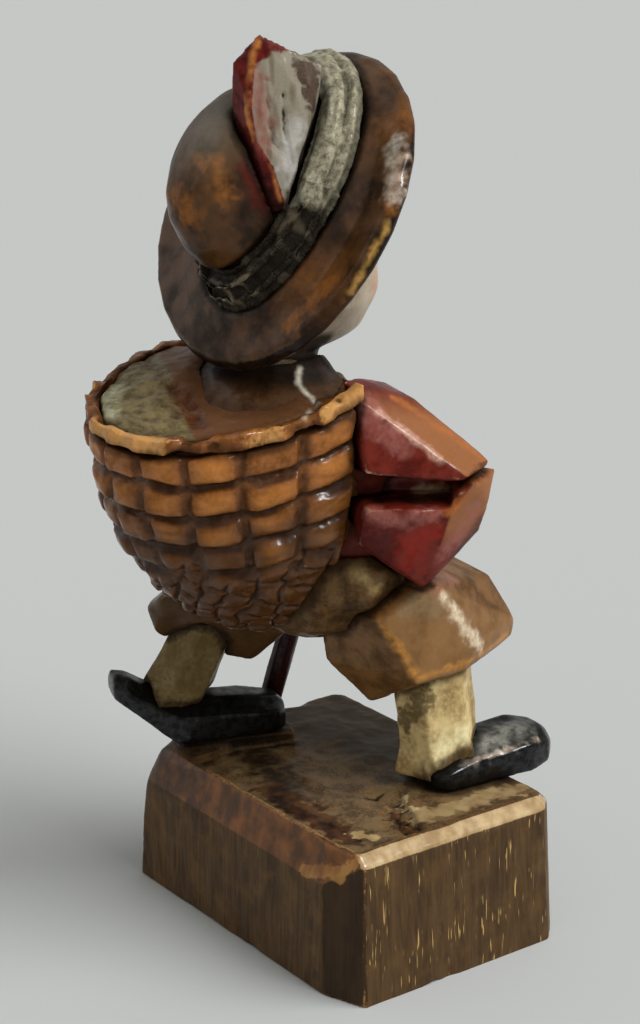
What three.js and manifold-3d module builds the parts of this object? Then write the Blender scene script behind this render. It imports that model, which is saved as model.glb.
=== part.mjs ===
// Carved and painted wooden figurine: a striding boy with a pack basket, a tilted hat and a staff,
// standing on a block base. Millimetres, +Z up. The boy faces -Y and +X is his left-hand side.
// The origin is the centre of the base's underside.

import * as THREE from 'three';
import { ConvexGeometry } from 'three/addons/geometries/ConvexGeometry.js';
import { mergeVertices } from 'three/addons/utils/BufferGeometryUtils.js';
import Module from 'manifold-3d';

const wasm = await Module();
wasm.setup();

// Clearance between glued neighbours, and the smallest edge that a cut leaves
const GLUE_GAP = 0.3;
const SLIVER = 0.02;

// Base block
const BASE_LENGTH = 42.2;
const BASE_DEPTH = 30;
const BASE_HEIGHT = 17.1;
const BASE_END_FLARE = 0.06;
const BASE_SIDE_FLARE = 0.022;
const BACK_BEVEL_DROP = 4.5;
const BACK_BEVEL_WIDTH = 1.4;
const SIDE_BEVEL_DROP = 1.2;
const SIDE_BEVEL_WIDTH = 1.2;
const NEAR_CORNER_CUT = 5.1;
const CORNER_CUT = 1.9;
const FAR_CORNER_CUT = 0.6;
const LEDGE_RISE = 1.6;
const SCOOP_DEPTH = 1.3;
const SCOOP_LIP = 0.5;

// Heights up the figure, each from the one below
const STOCKING_HEIGHT = 14.1;
const BREECHES_HEIGHT = 11.8;
const JACKET_HEIGHT = 22.5;
const NECK_HEIGHT = 11.5;
const HAT_RISE = 4.9;

// Figure
const BODY_X = 3;
const SHOE_WIDTH = 8.4;
const SHOE_HEIGHT = 4.8;
const RIGHT_SHOE_LENGTH = 16.7;
const LEFT_SHOE_LENGTH = 13.4;
const LEFT_HEEL_LENGTH = 6.2;
const LEFT_HEEL_LIFT = 5.2;
const CHEST_WIDTH = 26;
const CHEST_DEPTH = 17;
const SEAT_WIDTH = 26;
const SEAT_DEPTH = 17;
const HEAD_WIDTH = 16.2;
const HEAD_LENGTH = 20;
const HEAD_DEPTH = 16.4;
const NECK_RADIUS = 4;
const COLLAR_RADIUS = 5;
const SLEEVE_RADIUS = 4.1;
const FIST_RADIUS = 3.3;

// Hat
const HAT_TILT = 60;
const BRIM_HALF_WIDTH = 19.1;
const BRIM_HALF_LENGTH = 18.3;
const BRIM_THICKNESS = 1.8;
const BRIM_CURL = 1.2;
const CROWN_HALF_WIDTH = 8;
const CROWN_HALF_LENGTH = 12.6;
const CROWN_FOOT = 2.5;
const CROWN_HEIGHT = 11.6;
const CORD_STRAND = 1.2;
const FEATHER_LENGTH = 16;
const FEATHER_WIDTH = 5.6;

// Basket
const BASKET_HALF_WIDTH = 15.3;
const BASKET_REACH = 22.4;
const BASKET_HEIGHT = 30;
const BASKET_WALL = 2.2;
const BASKET_RIM_HEIGHT = 1.7;
const BASKET_WELL = 12;
const RIM_WALL = 1.3;
const LOAD_BELOW_RIM = 0.3;
const LOAD_SWELL = 1.5;
const WEAVE_ROWS = 10;
const WEAVE_COLUMNS = 10;
const WEAVE_GROOVE = 0.8;
const WEAVE_STEP = 0.3;

// Staff and straps
const STAFF_DIAMETER = 2.6;
const STAFF_SOCKET = 3;
const STRAP_WIDTH = 2.6;
const STRAP_THICKNESS = 1.2;

// Landmarks that follow from the heights
const GROUND = BASE_HEIGHT;
const HEM = GROUND + STOCKING_HEIGHT;
const WAIST = HEM + BREECHES_HEIGHT;
const SHOULDER = WAIST + JACKET_HEIGHT;
const HEAD = SHOULDER + NECK_HEIGHT;
const HAT = HEAD + HAT_RISE;

const COLOURS = {
  base: 0x5a3a20,
  shoe: 0x15171a,
  stocking: 0xb39a5c,
  breeches: 0x7d5a2c,
  seat: 0x6b5a2e,
  jacket: 0x8a2018,
  sleeve: 0x9a2f20,
  vest: 0x6a3f1c,
  linen: 0xd8c9a0,
  skin: 0xd9a878,
  hair: 0x5a3414,
  hat: 0x3a2413,
  cord: 0x9a9a86,
  feather: 0x7c1512,
  basket: 0x9a6128,
  rim: 0xa86a2c,
  load: 0x77714f,
  strap: 0x5c3a1e,
  staff: 0x3a1210,
};

// Solids
function solidOf(geometry) {
  geometry.deleteAttribute('normal');
  geometry.deleteAttribute('uv');
  const merged = mergeVertices(geometry, 1e-4);
  return new wasm.Manifold(
    new wasm.Mesh({
      numProp: 3,
      vertProperties: new Float32Array(merged.attributes.position.array),
      triVerts: new Uint32Array(merged.index.array),
    }),
  );
}

function signedVolume(points, index) {
  let volume = 0;
  for (let i = 0; i < index.length; i += 3) {
    const [a, b, c] = [points[index[i]], points[index[i + 1]], points[index[i + 2]]];
    volume += a.dot(b.clone().cross(c));
  }
  return volume;
}

function indexedSolid(points, index) {
  if (signedVolume(points, index) < 0) {
    index.reverse();
  }
  const geometry = new THREE.BufferGeometry().setFromPoints(points);
  geometry.setIndex(index);
  return solidOf(geometry);
}

// A closed skin over rings of equal count. With closed set, the last ring joins the first.
function loftRings(rings, closed = false) {
  const count = rings[0].length;
  const points = rings.flat();
  const index = [];
  const spans = closed ? rings.length : rings.length - 1;
  for (let r = 0; r < spans; r++) {
    const below = r * count;
    const above = ((r + 1) % rings.length) * count;
    for (let i = 0; i < count; i++) {
      const next = (i + 1) % count;
      index.push(below + i, below + next, above + next, below + i, above + next, above + i);
    }
  }
  if (!closed) {
    const last = (rings.length - 1) * count;
    const bottom = points.push(middle(rings[0])) - 1;
    const top = points.push(middle(rings[rings.length - 1])) - 1;
    for (let i = 0; i < count; i++) {
      const next = (i + 1) % count;
      index.push(bottom, next, i, top, last + i, last + next);
    }
  }
  return indexedSolid(points, index);
}

function middle(ring) {
  const sum = new THREE.Vector3();
  for (const point of ring) {
    sum.add(point);
  }
  return sum.divideScalar(ring.length);
}

const vec = (x, y, z) => new THREE.Vector3(x, y, z);
const UP = vec(0, 0, 1);

// A section across a limb: a centre, two directions and the reach along each
function level(x, y, z, reachX, reachY, slopeY = 0, slopeX = 0) {
  return { at: vec(x, y, z), u: vec(1, 0, slopeX), v: vec(0, 1, slopeY), ru: reachX, rv: reachY };
}

function squareTo(at, along, reachSide, reachUp) {
  const side = along.clone().cross(UP).normalize();
  return { at, u: side, v: side.clone().cross(along).normalize(), ru: reachSide, rv: reachUp };
}

function sectionRing(section, sides, turn, grow) {
  const ring = [];
  for (let i = 0; i < sides; i++) {
    const angle = THREE.MathUtils.degToRad(turn) + (i / sides) * 2 * Math.PI;
    ring.push(
      section.at
        .clone()
        .addScaledVector(section.u, (section.ru + grow) * Math.cos(angle))
        .addScaledVector(section.v, (section.rv + grow) * Math.sin(angle)),
    );
  }
  return ring;
}

// A knife-cut form through sections. Growing it moves every wall and both ends outwards.
function carve(sections, sides, turn, grow = 0) {
  const rings = sections.map((section) => sectionRing(section, sides, turn, grow));
  const push = (ring, from, to) => {
    const shift = to.clone().sub(from).normalize().multiplyScalar(grow);
    ring.forEach((point) => point.add(shift));
  };
  const end = sections.length - 1;
  push(rings[0], sections[1].at, sections[0].at);
  push(rings[end], sections[end - 1].at, sections[end].at);
  return loftRings(rings);
}

// A block whose flat facets span its corner points
function facetBlock(corners, grow = 0) {
  const points = [];
  for (const [x, y, z] of corners) {
    if (grow === 0) {
      points.push(vec(x, y, z));
      continue;
    }
    for (const dx of [-grow, grow]) {
      for (const dy of [-grow, grow]) {
        for (const dz of [-grow, grow]) {
          points.push(vec(x + dx, y + dy, z + dz));
        }
      }
    }
  }
  return solidOf(new ConvexGeometry(points));
}

// Base: a flared block with uneven bevels, a cut-off near corner, a ledge under the left shoe and a top that
// is scooped out behind the back bevel, deepest along its lip and running out towards the far side
function baseBlock() {
  const halfX = BASE_LENGTH / 2;
  const halfY = BASE_DEPTH / 2;
  const top = BASE_HEIGHT;
  const back = { drop: BACK_BEVEL_DROP, inX: 0, inY: BACK_BEVEL_WIDTH };
  const front = { drop: SIDE_BEVEL_DROP, inX: 0, inY: SIDE_BEVEL_WIDTH };
  const ends = { drop: SIDE_BEVEL_DROP, inX: SIDE_BEVEL_WIDTH, inY: 0 };
  const farCorner = { drop: BACK_BEVEL_DROP, inX: SIDE_BEVEL_WIDTH, inY: BACK_BEVEL_WIDTH };
  const outline = [
    [-halfX + NEAR_CORNER_CUT, halfY, back],
    [-halfX, halfY - CORNER_CUT, ends],
    [-halfX, -halfY + CORNER_CUT, ends],
    [-halfX + CORNER_CUT, -halfY, front],
    [halfX - CORNER_CUT, -halfY, front],
    [halfX, -halfY + CORNER_CUT, ends],
    [halfX, halfY - FAR_CORNER_CUT, farCorner],
    [halfX - FAR_CORNER_CUT, halfY, back],
  ];
  const ringAt = (height, inset) =>
    outline.map(([x, y, side]) => {
      const z = height === 0 ? 0 : height - (inset ? 0 : side.drop);
      const reachX = Math.abs(x) - BASE_END_FLARE * z - (inset ? side.inX : 0);
      const reachY = Math.abs(y) - BASE_SIDE_FLARE * z - (inset ? side.inY : 0);
      return vec(Math.sign(x) * reachX, Math.sign(y) * reachY, z);
    });
  const block = loftRings([ringAt(0, false), ringAt(top, false), ringAt(top, true)]);
  const lipX = halfX - BASE_END_FLARE * top - SIDE_BEVEL_WIDTH - SCOOP_LIP;
  const lipY = halfY - BASE_SIDE_FLARE * top - BACK_BEVEL_WIDTH - SCOOP_LIP;
  const scoopFloor = [
    [-lipX, lipY - SCOOP_LIP, SCOOP_DEPTH],
    [NEAR_CORNER_CUT * 0.75 - lipX, lipY, SCOOP_DEPTH],
    [lipX * 0.7, lipY, SCOOP_DEPTH * 0.75],
    [lipX * 0.7, -lipY * 0.7, -0.15],
    [-3, -4, 0.1],
    [-lipX, 3, 0.5],
  ];
  const scoop = facetBlock(scoopFloor.flatMap(([x, y, depth]) => [[x, y, top - depth], [x, y, top + 1]]));
  const [heel, toe] = [leftSole(0), leftSole(LEFT_SHOE_LENGTH)];
  const along = toe.clone().sub(heel).normalize();
  const ledge = carve(
    [
      squareTo(heel.clone().addScaledVector(along, 0.6).setZ(top), along, SHOE_WIDTH * 0.42, LEDGE_RISE),
      squareTo(toe.clone().addScaledVector(along, 0.8).setZ(top), along, SHOE_WIDTH * 0.46, LEDGE_RISE),
    ],
    4,
    45,
  );
  return block.subtract(scoop).add(ledge);
}

// Shoes
const RIGHT_HEEL = vec(-8.6, -4, GROUND + GLUE_GAP);
const RIGHT_HEADING = vec(-0.12, -1, 0).normalize();
const LEFT_BALL = vec(17.6, 12.2, GROUND + LEDGE_RISE * Math.SQRT1_2 + GLUE_GAP);
const LEFT_HEADING = vec(-0.345, -0.94, 0).normalize();

function leftSole(distance) {
  return LEFT_BALL.clone().addScaledVector(LEFT_HEADING, distance);
}

// A flat sole, upright sides and a top that slopes to a ridge
function shoeRing(at, heading, width, height, grow) {
  const side = heading.clone().cross(UP).normalize();
  const half = width / 2 + grow;
  const outline = [
    [-half, -grow],
    [half, -grow],
    [half, height * 0.62],
    [half * 0.42, height + grow],
    [-half * 0.42, height + grow],
    [-half, height * 0.62],
  ];
  return outline.map(([s, z]) => at.clone().addScaledVector(side, s).add(vec(0, 0, z)));
}

function shoe(stations, heading, grow) {
  const rings = stations.map(([at, width, height]) => shoeRing(at, heading, width, height, grow));
  const last = rings.length - 1;
  rings[0].forEach((point) => point.addScaledVector(heading, -grow));
  rings[last].forEach((point) => point.addScaledVector(heading, grow));
  return loftRings(rings);
}

function rightShoe(grow) {
  const sole = (share, lift) =>
    RIGHT_HEEL.clone().addScaledVector(RIGHT_HEADING, share * RIGHT_SHOE_LENGTH).add(vec(0, 0, lift));
  return shoe(
    [
      [sole(0, 0.3), SHOE_WIDTH * 0.8, SHOE_HEIGHT * 0.5],
      [sole(0.08, 0), SHOE_WIDTH, SHOE_HEIGHT * 0.62],
      [sole(0.45, 0), SHOE_WIDTH * 0.96, SHOE_HEIGHT * 0.95],
      [sole(0.76, 0.1), SHOE_WIDTH, SHOE_HEIGHT],
      [sole(0.93, 0.3), SHOE_WIDTH * 0.76, SHOE_HEIGHT * 0.82],
      [sole(1, 0.7), SHOE_WIDTH * 0.45, SHOE_HEIGHT * 0.55],
    ],
    RIGHT_HEADING,
    grow,
  );
}

function leftShoe(grow) {
  const heel = (share) =>
    leftSole(-share * LEFT_HEEL_LENGTH).add(vec(share * 1.6, 0, share * LEFT_HEEL_LIFT));
  return shoe(
    [
      [heel(1), SHOE_WIDTH * 0.45, SHOE_HEIGHT * 0.55],
      [heel(0.75), SHOE_WIDTH * 0.72, SHOE_HEIGHT * 0.75],
      [leftSole(0), SHOE_WIDTH * 0.82, SHOE_HEIGHT],
      [leftSole(LEFT_SHOE_LENGTH * 0.6), SHOE_WIDTH * 0.86, SHOE_HEIGHT * 0.95],
      [leftSole(LEFT_SHOE_LENGTH * 0.92), SHOE_WIDTH * 0.66, SHOE_HEIGHT * 0.8],
      [leftSole(LEFT_SHOE_LENGTH), SHOE_WIDTH * 0.4, SHOE_HEIGHT * 0.6],
    ],
    LEFT_HEADING,
    grow,
  );
}

// Legs
function rightStocking(grow) {
  return carve(
    [
      level(-8.6, -7.6, GROUND + 1.6, 5, 6),
      level(-8.4, -7, GROUND + 5, 3.9, 4.9),
      level(-7.8, -6.4, HEM - 1, 3.8, 5),
      level(-7.2, -6, HEM + 1.5, 3.8, 5),
    ],
    6,
    15,
    grow,
  );
}

function leftStocking(grow) {
  return carve(
    [
      level(18.6, 12.4, GROUND + 4.6, 3.9, 4.4, 0.3),
      level(17.6, 11, GROUND + 8, 4, 4.2, 0.2),
      level(16, 9, HEM - 0.6, 4, 4),
      level(15.2, 8.4, HEM + 2, 3.8, 3.8),
    ],
    6,
    15,
    grow,
  );
}

function rightBreeches(grow) {
  return facetBlock(
    [
      [-2, 5.2, WAIST - 5.5],
      [-2, 4.2, HEM + 0.8],
      [-5, 0.3, HEM - 4.2],
      [-4, -10.5, HEM - 2.6],
      [-12.5, -0.2, HEM],
      [-12.8, -7, HEM + 0.2],
      [-10, -16.2, HEM + 1.4],
      [-3, -15.4, HEM + 0.4],
      [-10, -16.6, HEM + 3.6],
      [-3.5, -15.6, HEM + 4.4],
      [-13.6, -7.8, HEM + 3.4],
      [-10.6, 3, WAIST - 4],
      [-13, -2.6, WAIST - 0.8],
      [-8.4, -14, WAIST - 3],
      [-1, -10, WAIST],
      [-3, 3, HEM + 6],
      [1.5, -4, WAIST + 1],
    ],
    grow,
  );
}

function leftBreeches(grow) {
  return facetBlock(
    [
      [17.6, 15.4, HEM + 3.8],
      [13.4, 15.6, HEM + 6.4],
      [17.4, 14.3, HEM + 0.4],
      [16.4, 11.2, HEM - 1.8],
      [11.2, 5.2, HEM - 3.1],
      [9.6, 4.4, HEM - 1.4],
      [20.4, 9, HEM + 0.6],
      [20.8, 8.6, HEM + 5],
      [17.6, 1.6, HEM - 0.6],
      [17.4, -1, HEM + 5.4],
      [12, -1.6, HEM + 0.6],
      [8, 10, WAIST - 1],
      [14.6, 4, WAIST + 1],
      [11, -5.6, WAIST - 1],
      [5, 4, HEM + 2.4],
      [5, -5, WAIST],
    ],
    grow,
  );
}

function breechesSeat(grow) {
  const [half, deep] = [SEAT_WIDTH / 2, SEAT_DEPTH / 2];
  return carve(
    [
      level(BODY_X, 3, HEM + 3, half * 0.3, deep * 0.4),
      level(BODY_X, 2.4, HEM + 5.2, half * 0.72, deep * 0.84),
      level(BODY_X, 1.6, WAIST - 3, half * 0.95, deep),
      level(BODY_X, 1, WAIST + 1, half, deep),
      level(BODY_X, 0.6, WAIST + 3, half * 0.9, deep * 0.9),
    ],
    12,
    15,
    grow,
  );
}

// Jacket, vest and sleeves
function jacketBody(grow) {
  const [half, deep] = [CHEST_WIDTH / 2, CHEST_DEPTH / 2];
  return carve(
    [
      level(BODY_X, 0.2, WAIST - 3.4, half * 0.84, deep * 1.04),
      level(BODY_X, 0.4, WAIST + 1.5, half * 0.88, deep),
      level(BODY_X, 0.8, WAIST + 7, half * 0.94, deep),
      level(BODY_X, 2.4, SHOULDER - 9, half, deep),
      level(BODY_X, 4.4, SHOULDER - 5, half * 0.86, deep * 0.9),
      level(BODY_X, 6.2, SHOULDER - 2, half * 0.54, deep * 0.7),
    ],
    12,
    15,
    grow,
  );
}

// The back, stained brown, swells below the neck and runs down into the basket
function vestBack(grow) {
  return carve(
    [
      level(BODY_X, 6, SHOULDER - 15, 9, 5.6),
      level(BODY_X, 7, SHOULDER - 9, 11, 8.4),
      level(BODY_X - 0.6, 8.2, SHOULDER - 5, 11, 9.6),
      level(BODY_X + 1, 7.8, SHOULDER - 1, 8.6, 7),
      level(BODY_X + 0.4, 7.4, SHOULDER + 1.4, 5.4, 4.8),
    ],
    14,
    15,
    grow,
  );
}

const ELBOW = SHOULDER - 10;

function rightUpperSleeve(grow) {
  return facetBlock(
    [
      [-6.6, 4, SHOULDER - 0.4],
      [-8, 6.4, SHOULDER - 0.2],
      [-10.4, 6.2, SHOULDER - 1.8],
      [-12.6, 6.8, ELBOW + 0.8],
      [-15.6, -0.6, ELBOW - 0.4],
      [-18, -2.8, ELBOW - 0.2],
      [-16.6, -7.2, ELBOW + 0.4],
      [-9.6, -2, SHOULDER - 3.2],
      [-4, -2, SHOULDER - 2.2],
      [-4, 3, ELBOW],
      [-9, -6.5, ELBOW - 0.4],
    ],
    grow,
  );
}

// The forearm runs back to the pocket under an open slit. The elbow cap joins it to the upper arm,
// and a web of wood is left standing deep in the slit.
function rightForeSleeve(grow) {
  const forearm = facetBlock(
    [
      [-12.4, 6.6, ELBOW - 3.1],
      [-14.6, 3, ELBOW - 3.6],
      [-16.5, -1.4, ELBOW - 3.7],
      [-16.6, -6.6, ELBOW - 3.6],
      [-14.6, -7.1, ELBOW - 7.5],
      [-14, -4.2, ELBOW - 9.7],
      [-12.6, -1.2, ELBOW - 13.4],
      [-12, 2.8, ELBOW - 10.4],
      [-11.4, 6.8, ELBOW - 7.2],
      [-5, 4, ELBOW - 3],
      [-6, -6, ELBOW - 3],
      [-7, -1, ELBOW - 12],
    ],
    grow,
  );
  const elbowCap = facetBlock(
    [
      [-16.5, -1.4, ELBOW - 3.7],
      [-17.2, -2, ELBOW - 1.7],
      [-18.2, -2.9, ELBOW - 0.6],
      [-16.7, -7.5, ELBOW],
      [-16.6, -6.6, ELBOW - 3.6],
      [-11, -7, ELBOW - 0.6],
      [-11, -6.6, ELBOW - 4],
      [-13, -5, ELBOW - 1],
      [-13, -4.6, ELBOW - 4],
    ],
    grow,
  );
  const web = facetBlock(
    [-3.6, 0.6].flatMap((z) => [
      [-6.8, 5.4, ELBOW + z],
      [-11.2, -3.4, ELBOW + z],
      [-12, -6.4, ELBOW + z],
      [-6.6, 2, ELBOW + z],
    ]),
    grow,
  );
  return forearm.add(elbowCap).add(web);
}

const LEFT_SHOULDER = vec(11, 4, SHOULDER - 4);
const LEFT_ELBOW = vec(20.4, -3.4, ELBOW - 3.4);
const STAFF_FOOT = vec(17.2, -0.7, GROUND);
const STAFF_LEAN = vec(-0.14, -0.24, 1).normalize();
const FIST_ALONG = 34;
const FIST = STAFF_FOOT.clone().addScaledVector(STAFF_LEAN, FIST_ALONG);

function leftUpperSleeve(grow) {
  const along = LEFT_ELBOW.clone().sub(LEFT_SHOULDER).normalize();
  const place = (share) => LEFT_SHOULDER.clone().lerp(LEFT_ELBOW, share);
  return carve(
    [
      squareTo(place(-0.1), along, SLEEVE_RADIUS * 0.9, SLEEVE_RADIUS * 0.9),
      squareTo(place(0.15), along, SLEEVE_RADIUS * 1.12, SLEEVE_RADIUS * 1.1),
      squareTo(place(0.75), along, SLEEVE_RADIUS, SLEEVE_RADIUS),
      squareTo(place(1.12), along, SLEEVE_RADIUS * 0.8, SLEEVE_RADIUS * 0.8),
    ],
    7,
    0,
    grow,
  );
}

function leftForeSleeve(grow) {
  const along = FIST.clone().sub(LEFT_ELBOW).normalize();
  const place = (share) => LEFT_ELBOW.clone().lerp(FIST, share);
  return carve(
    [
      squareTo(place(-0.2), along, SLEEVE_RADIUS * 0.84, SLEEVE_RADIUS * 0.84),
      squareTo(place(0.2), along, SLEEVE_RADIUS, SLEEVE_RADIUS * 0.98),
      squareTo(place(0.76), along, SLEEVE_RADIUS * 0.96, SLEEVE_RADIUS * 0.96),
    ],
    7,
    0,
    grow,
  );
}

function leftFist(grow) {
  const along = FIST.clone().sub(LEFT_ELBOW).normalize();
  const place = (distance) => FIST.clone().addScaledVector(along, distance);
  return carve(
    [
      squareTo(place(-FIST_RADIUS * 1.2), along, FIST_RADIUS * 0.7, FIST_RADIUS * 0.7),
      squareTo(place(-FIST_RADIUS * 0.5), along, FIST_RADIUS * 0.96, FIST_RADIUS),
      squareTo(place(FIST_RADIUS * 0.5), along, FIST_RADIUS * 0.96, FIST_RADIUS),
      squareTo(place(FIST_RADIUS), along, FIST_RADIUS * 0.66, FIST_RADIUS * 0.76),
    ],
    8,
    22.5,
    grow,
  );
}

function staff(grow) {
  const radius = STAFF_DIAMETER / 2;
  const place = (distance) => STAFF_FOOT.clone().addScaledVector(STAFF_LEAN, distance);
  const section = (distance, share) =>
    squareTo(place(distance), STAFF_LEAN, radius * share, radius * share);
  return carve(
    [
      section(-STAFF_SOCKET, 0.95),
      section(FIST_ALONG * 0.5, 1),
      section(FIST_ALONG + FIST_RADIUS + 1, 0.92),
      section(FIST_ALONG + FIST_RADIUS + 2, 1.35),
      section(FIST_ALONG + FIST_RADIUS + 3.6, 1.3),
      section(FIST_ALONG + FIST_RADIUS + 4.4, 0.7),
    ],
    8,
    0,
    grow,
  );
}

// Head
const HEAD_Y = 3.6;
const NECK_Y = 7.2;

function headForm(grow) {
  const [half, tall, deep] = [HEAD_WIDTH / 2, HEAD_LENGTH / 2, HEAD_DEPTH / 2];
  return carve(
    [
      level(BODY_X, NECK_Y, SHOULDER - 2, NECK_RADIUS, NECK_RADIUS),
      level(BODY_X, NECK_Y - 0.8, HEAD - tall * 0.98, NECK_RADIUS, NECK_RADIUS),
      level(BODY_X, HEAD_Y - 0.4, HEAD - tall * 0.86, half * 0.62, deep * 0.78),
      level(BODY_X, HEAD_Y, HEAD - tall * 0.5, half * 0.9, deep * 0.94),
      level(BODY_X, HEAD_Y, HEAD, half, deep),
      level(BODY_X, HEAD_Y + 0.4, HEAD + tall * 0.5, half * 0.9, deep * 0.92),
      level(BODY_X, HEAD_Y + 0.8, HEAD + tall * 0.86, half * 0.6, deep * 0.62),
      level(BODY_X, HEAD_Y + 1, HEAD + tall, half * 0.24, deep * 0.26),
    ],
    16,
    0,
    grow,
  );
}

function noseForm(grow) {
  const face = HEAD_Y - HEAD_DEPTH / 2;
  return facetBlock(
    [
      [BODY_X, face + 0.4, HEAD + 1.6],
      [BODY_X - 0.9, face + 1, HEAD + 1],
      [BODY_X + 0.9, face + 1, HEAD + 1],
      [BODY_X, face - 1.7, HEAD - 1.6],
      [BODY_X - 1.5, face + 0.6, HEAD - 2.4],
      [BODY_X + 1.5, face + 0.6, HEAD - 2.4],
    ],
    grow,
  );
}

function earForm(sign, grow) {
  const side = BODY_X + (sign * HEAD_WIDTH) / 2;
  const out = (reach) => side + sign * reach;
  return facetBlock(
    [
      [out(-1), HEAD_Y - 0.6, HEAD + 1.8],
      [out(-1), HEAD_Y + 2.2, HEAD + 1.8],
      [out(1.1), HEAD_Y + 1, HEAD + 1.6],
      [out(1.2), HEAD_Y + 1.4, HEAD - 0.4],
      [out(-1), HEAD_Y - 0.4, HEAD - 2.8],
      [out(-1), HEAD_Y + 1.6, HEAD - 2.8],
      [out(0.5), HEAD_Y + 0.4, HEAD - 2.6],
    ],
    grow,
  );
}

function head(grow) {
  return headForm(grow).add(noseForm(grow)).add(earForm(-1, grow)).add(earForm(1, grow));
}

// A cap of hair over the skull, cut away in front below the fringe
function hair(grow) {
  const cap = headForm(1.1 + grow);
  const fringe = HEAD + HEAD_LENGTH * 0.24;
  const faceWindow = facetBlock([
    [BODY_X - 20, -30, HEAD - 40],
    [BODY_X + 20, -30, HEAD - 40],
    [BODY_X - 20, HEAD_Y + 1.6, HEAD - 40],
    [BODY_X + 20, HEAD_Y + 1.6, HEAD - 40],
    [BODY_X - 20, -30, fringe + 4],
    [BODY_X + 20, -30, fringe + 4],
    [BODY_X - 20, HEAD_Y + 1.6, fringe - 3],
    [BODY_X + 20, HEAD_Y + 1.6, fringe - 3],
  ]);
  const nape = facetBlock([
    [BODY_X - 20, -30, HEAD - 60],
    [BODY_X + 20, -30, HEAD - 60],
    [BODY_X - 20, 30, HEAD - 60],
    [BODY_X + 20, 30, HEAD - 60],
    [BODY_X - 20, -30, HEAD - 5.4],
    [BODY_X + 20, -30, HEAD - 5.4],
    [BODY_X - 20, 30, HEAD - 5.4],
    [BODY_X + 20, 30, HEAD - 5.4],
  ]);
  return cap.add(hairInHat(grow)).subtract(faceWindow).subtract(nape);
}

// The hair swells up into the mouth of the hat
function hairInHat(grow) {
  const shape = [
    [0.4, 0.66, 0.74, 0.7],
    [-0.4, 0.98, 0.76, 0.7],
    [-1.4, 1.02, 0.68, 0.6],
    [-2.8, 0.86, 0.52, 0.4],
    [-4, 0.5, 0.36, 0],
  ];
  const rings = shape.map(([rise, wide, long, shift]) =>
    hatRing(
      CROWN_HALF_WIDTH * wide + grow,
      CROWN_HALF_LENGTH * long + grow,
      shift,
      () => CROWN_FOOT * rise,
    ),
  );
  return loftRings(rings);
}

function shirtCollar(grow) {
  return carve(
    [
      level(BODY_X, NECK_Y - 0.6, SHOULDER - 2.6, COLLAR_RADIUS * 1.1, COLLAR_RADIUS * 1.1, 0.2),
      level(BODY_X, NECK_Y - 0.2, SHOULDER - 0.4, COLLAR_RADIUS * 1.04, COLLAR_RADIUS * 1.04, 0.2),
      level(BODY_X, NECK_Y, SHOULDER + 0.9, COLLAR_RADIUS * 0.94, COLLAR_RADIUS * 0.94, 0.2),
    ],
    12,
    15,
    grow,
  );
}

// The shirt front shows in the jacket's opening as a tapering panel
function shirtFront(grow) {
  const face = 0.8 - CHEST_DEPTH / 2;
  return facetBlock(
    [
      [BODY_X - 3.4, face + 8.4, SHOULDER - 1.6],
      [BODY_X + 3.4, face + 8.4, SHOULDER - 1.6],
      [BODY_X - 3.4, face + 10, SHOULDER - 2],
      [BODY_X + 3.4, face + 10, SHOULDER - 2],
      [BODY_X - 2.8, face + 1.3, SHOULDER - 9],
      [BODY_X + 2.8, face + 1.3, SHOULDER - 9],
      [BODY_X - 0.8, face - 0.5, WAIST + 3],
      [BODY_X + 0.8, face - 0.5, WAIST + 3],
      [BODY_X - 0.8, face + 2, WAIST + 3],
      [BODY_X + 0.8, face + 2, WAIST + 3],
    ],
    grow,
  );
}

// Hat, in its own frame: +Z up the crown, -Y towards the front of the brim
const hatPlace = new THREE.Matrix4()
  .makeTranslation(BODY_X - 0.6, 6.2, HAT)
  .multiply(new THREE.Matrix4().makeRotationX(-THREE.MathUtils.degToRad(HAT_TILT)));

const HAT_SIDES = 28;
const CROWN_SHIFT = -2;
const CROWN_SIDE_SHIFT = -1;

// An oval round the hat. The shift is the share of the crown's offset from the brim's centre.
function hatRing(halfWidth, halfLength, shift, height) {
  const ring = [];
  for (let i = 0; i < HAT_SIDES; i++) {
    const angle = (i / HAT_SIDES) * 2 * Math.PI;
    const x = CROWN_SIDE_SHIFT * shift + halfWidth * Math.cos(angle);
    const y = CROWN_SHIFT * shift + halfLength * Math.sin(angle);
    ring.push(vec(x, y, height(angle)).applyMatrix4(hatPlace));
  }
  return ring;
}

function hatBrim(grow) {
  const half = BRIM_THICKNESS / 2 + grow;
  const curl = (angle) => BRIM_CURL * Math.cos(angle) ** 2;
  const edge = (out, lift) =>
    hatRing(BRIM_HALF_WIDTH + out, BRIM_HALF_LENGTH + out, 0, (angle) => lift + curl(angle));
  const slope = (share, lift) => {
    const mix = (outer, inner) => outer + (inner - outer) * share;
    return hatRing(
      mix(BRIM_HALF_WIDTH, CROWN_HALF_WIDTH),
      mix(BRIM_HALF_LENGTH, CROWN_HALF_LENGTH),
      share,
      () => CROWN_FOOT * share ** 1.3 + lift,
    );
  };
  return loftRings(
    [
      edge(grow - 0.6, -half),
      edge(grow, -half * 0.2),
      edge(grow - 0.5, half),
      slope(0.45, half),
      slope(1.05, half),
      slope(1.25, half * 0.2),
      slope(1.05, -half),
      slope(0.45, -half),
    ],
    true,
  );
}

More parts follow.
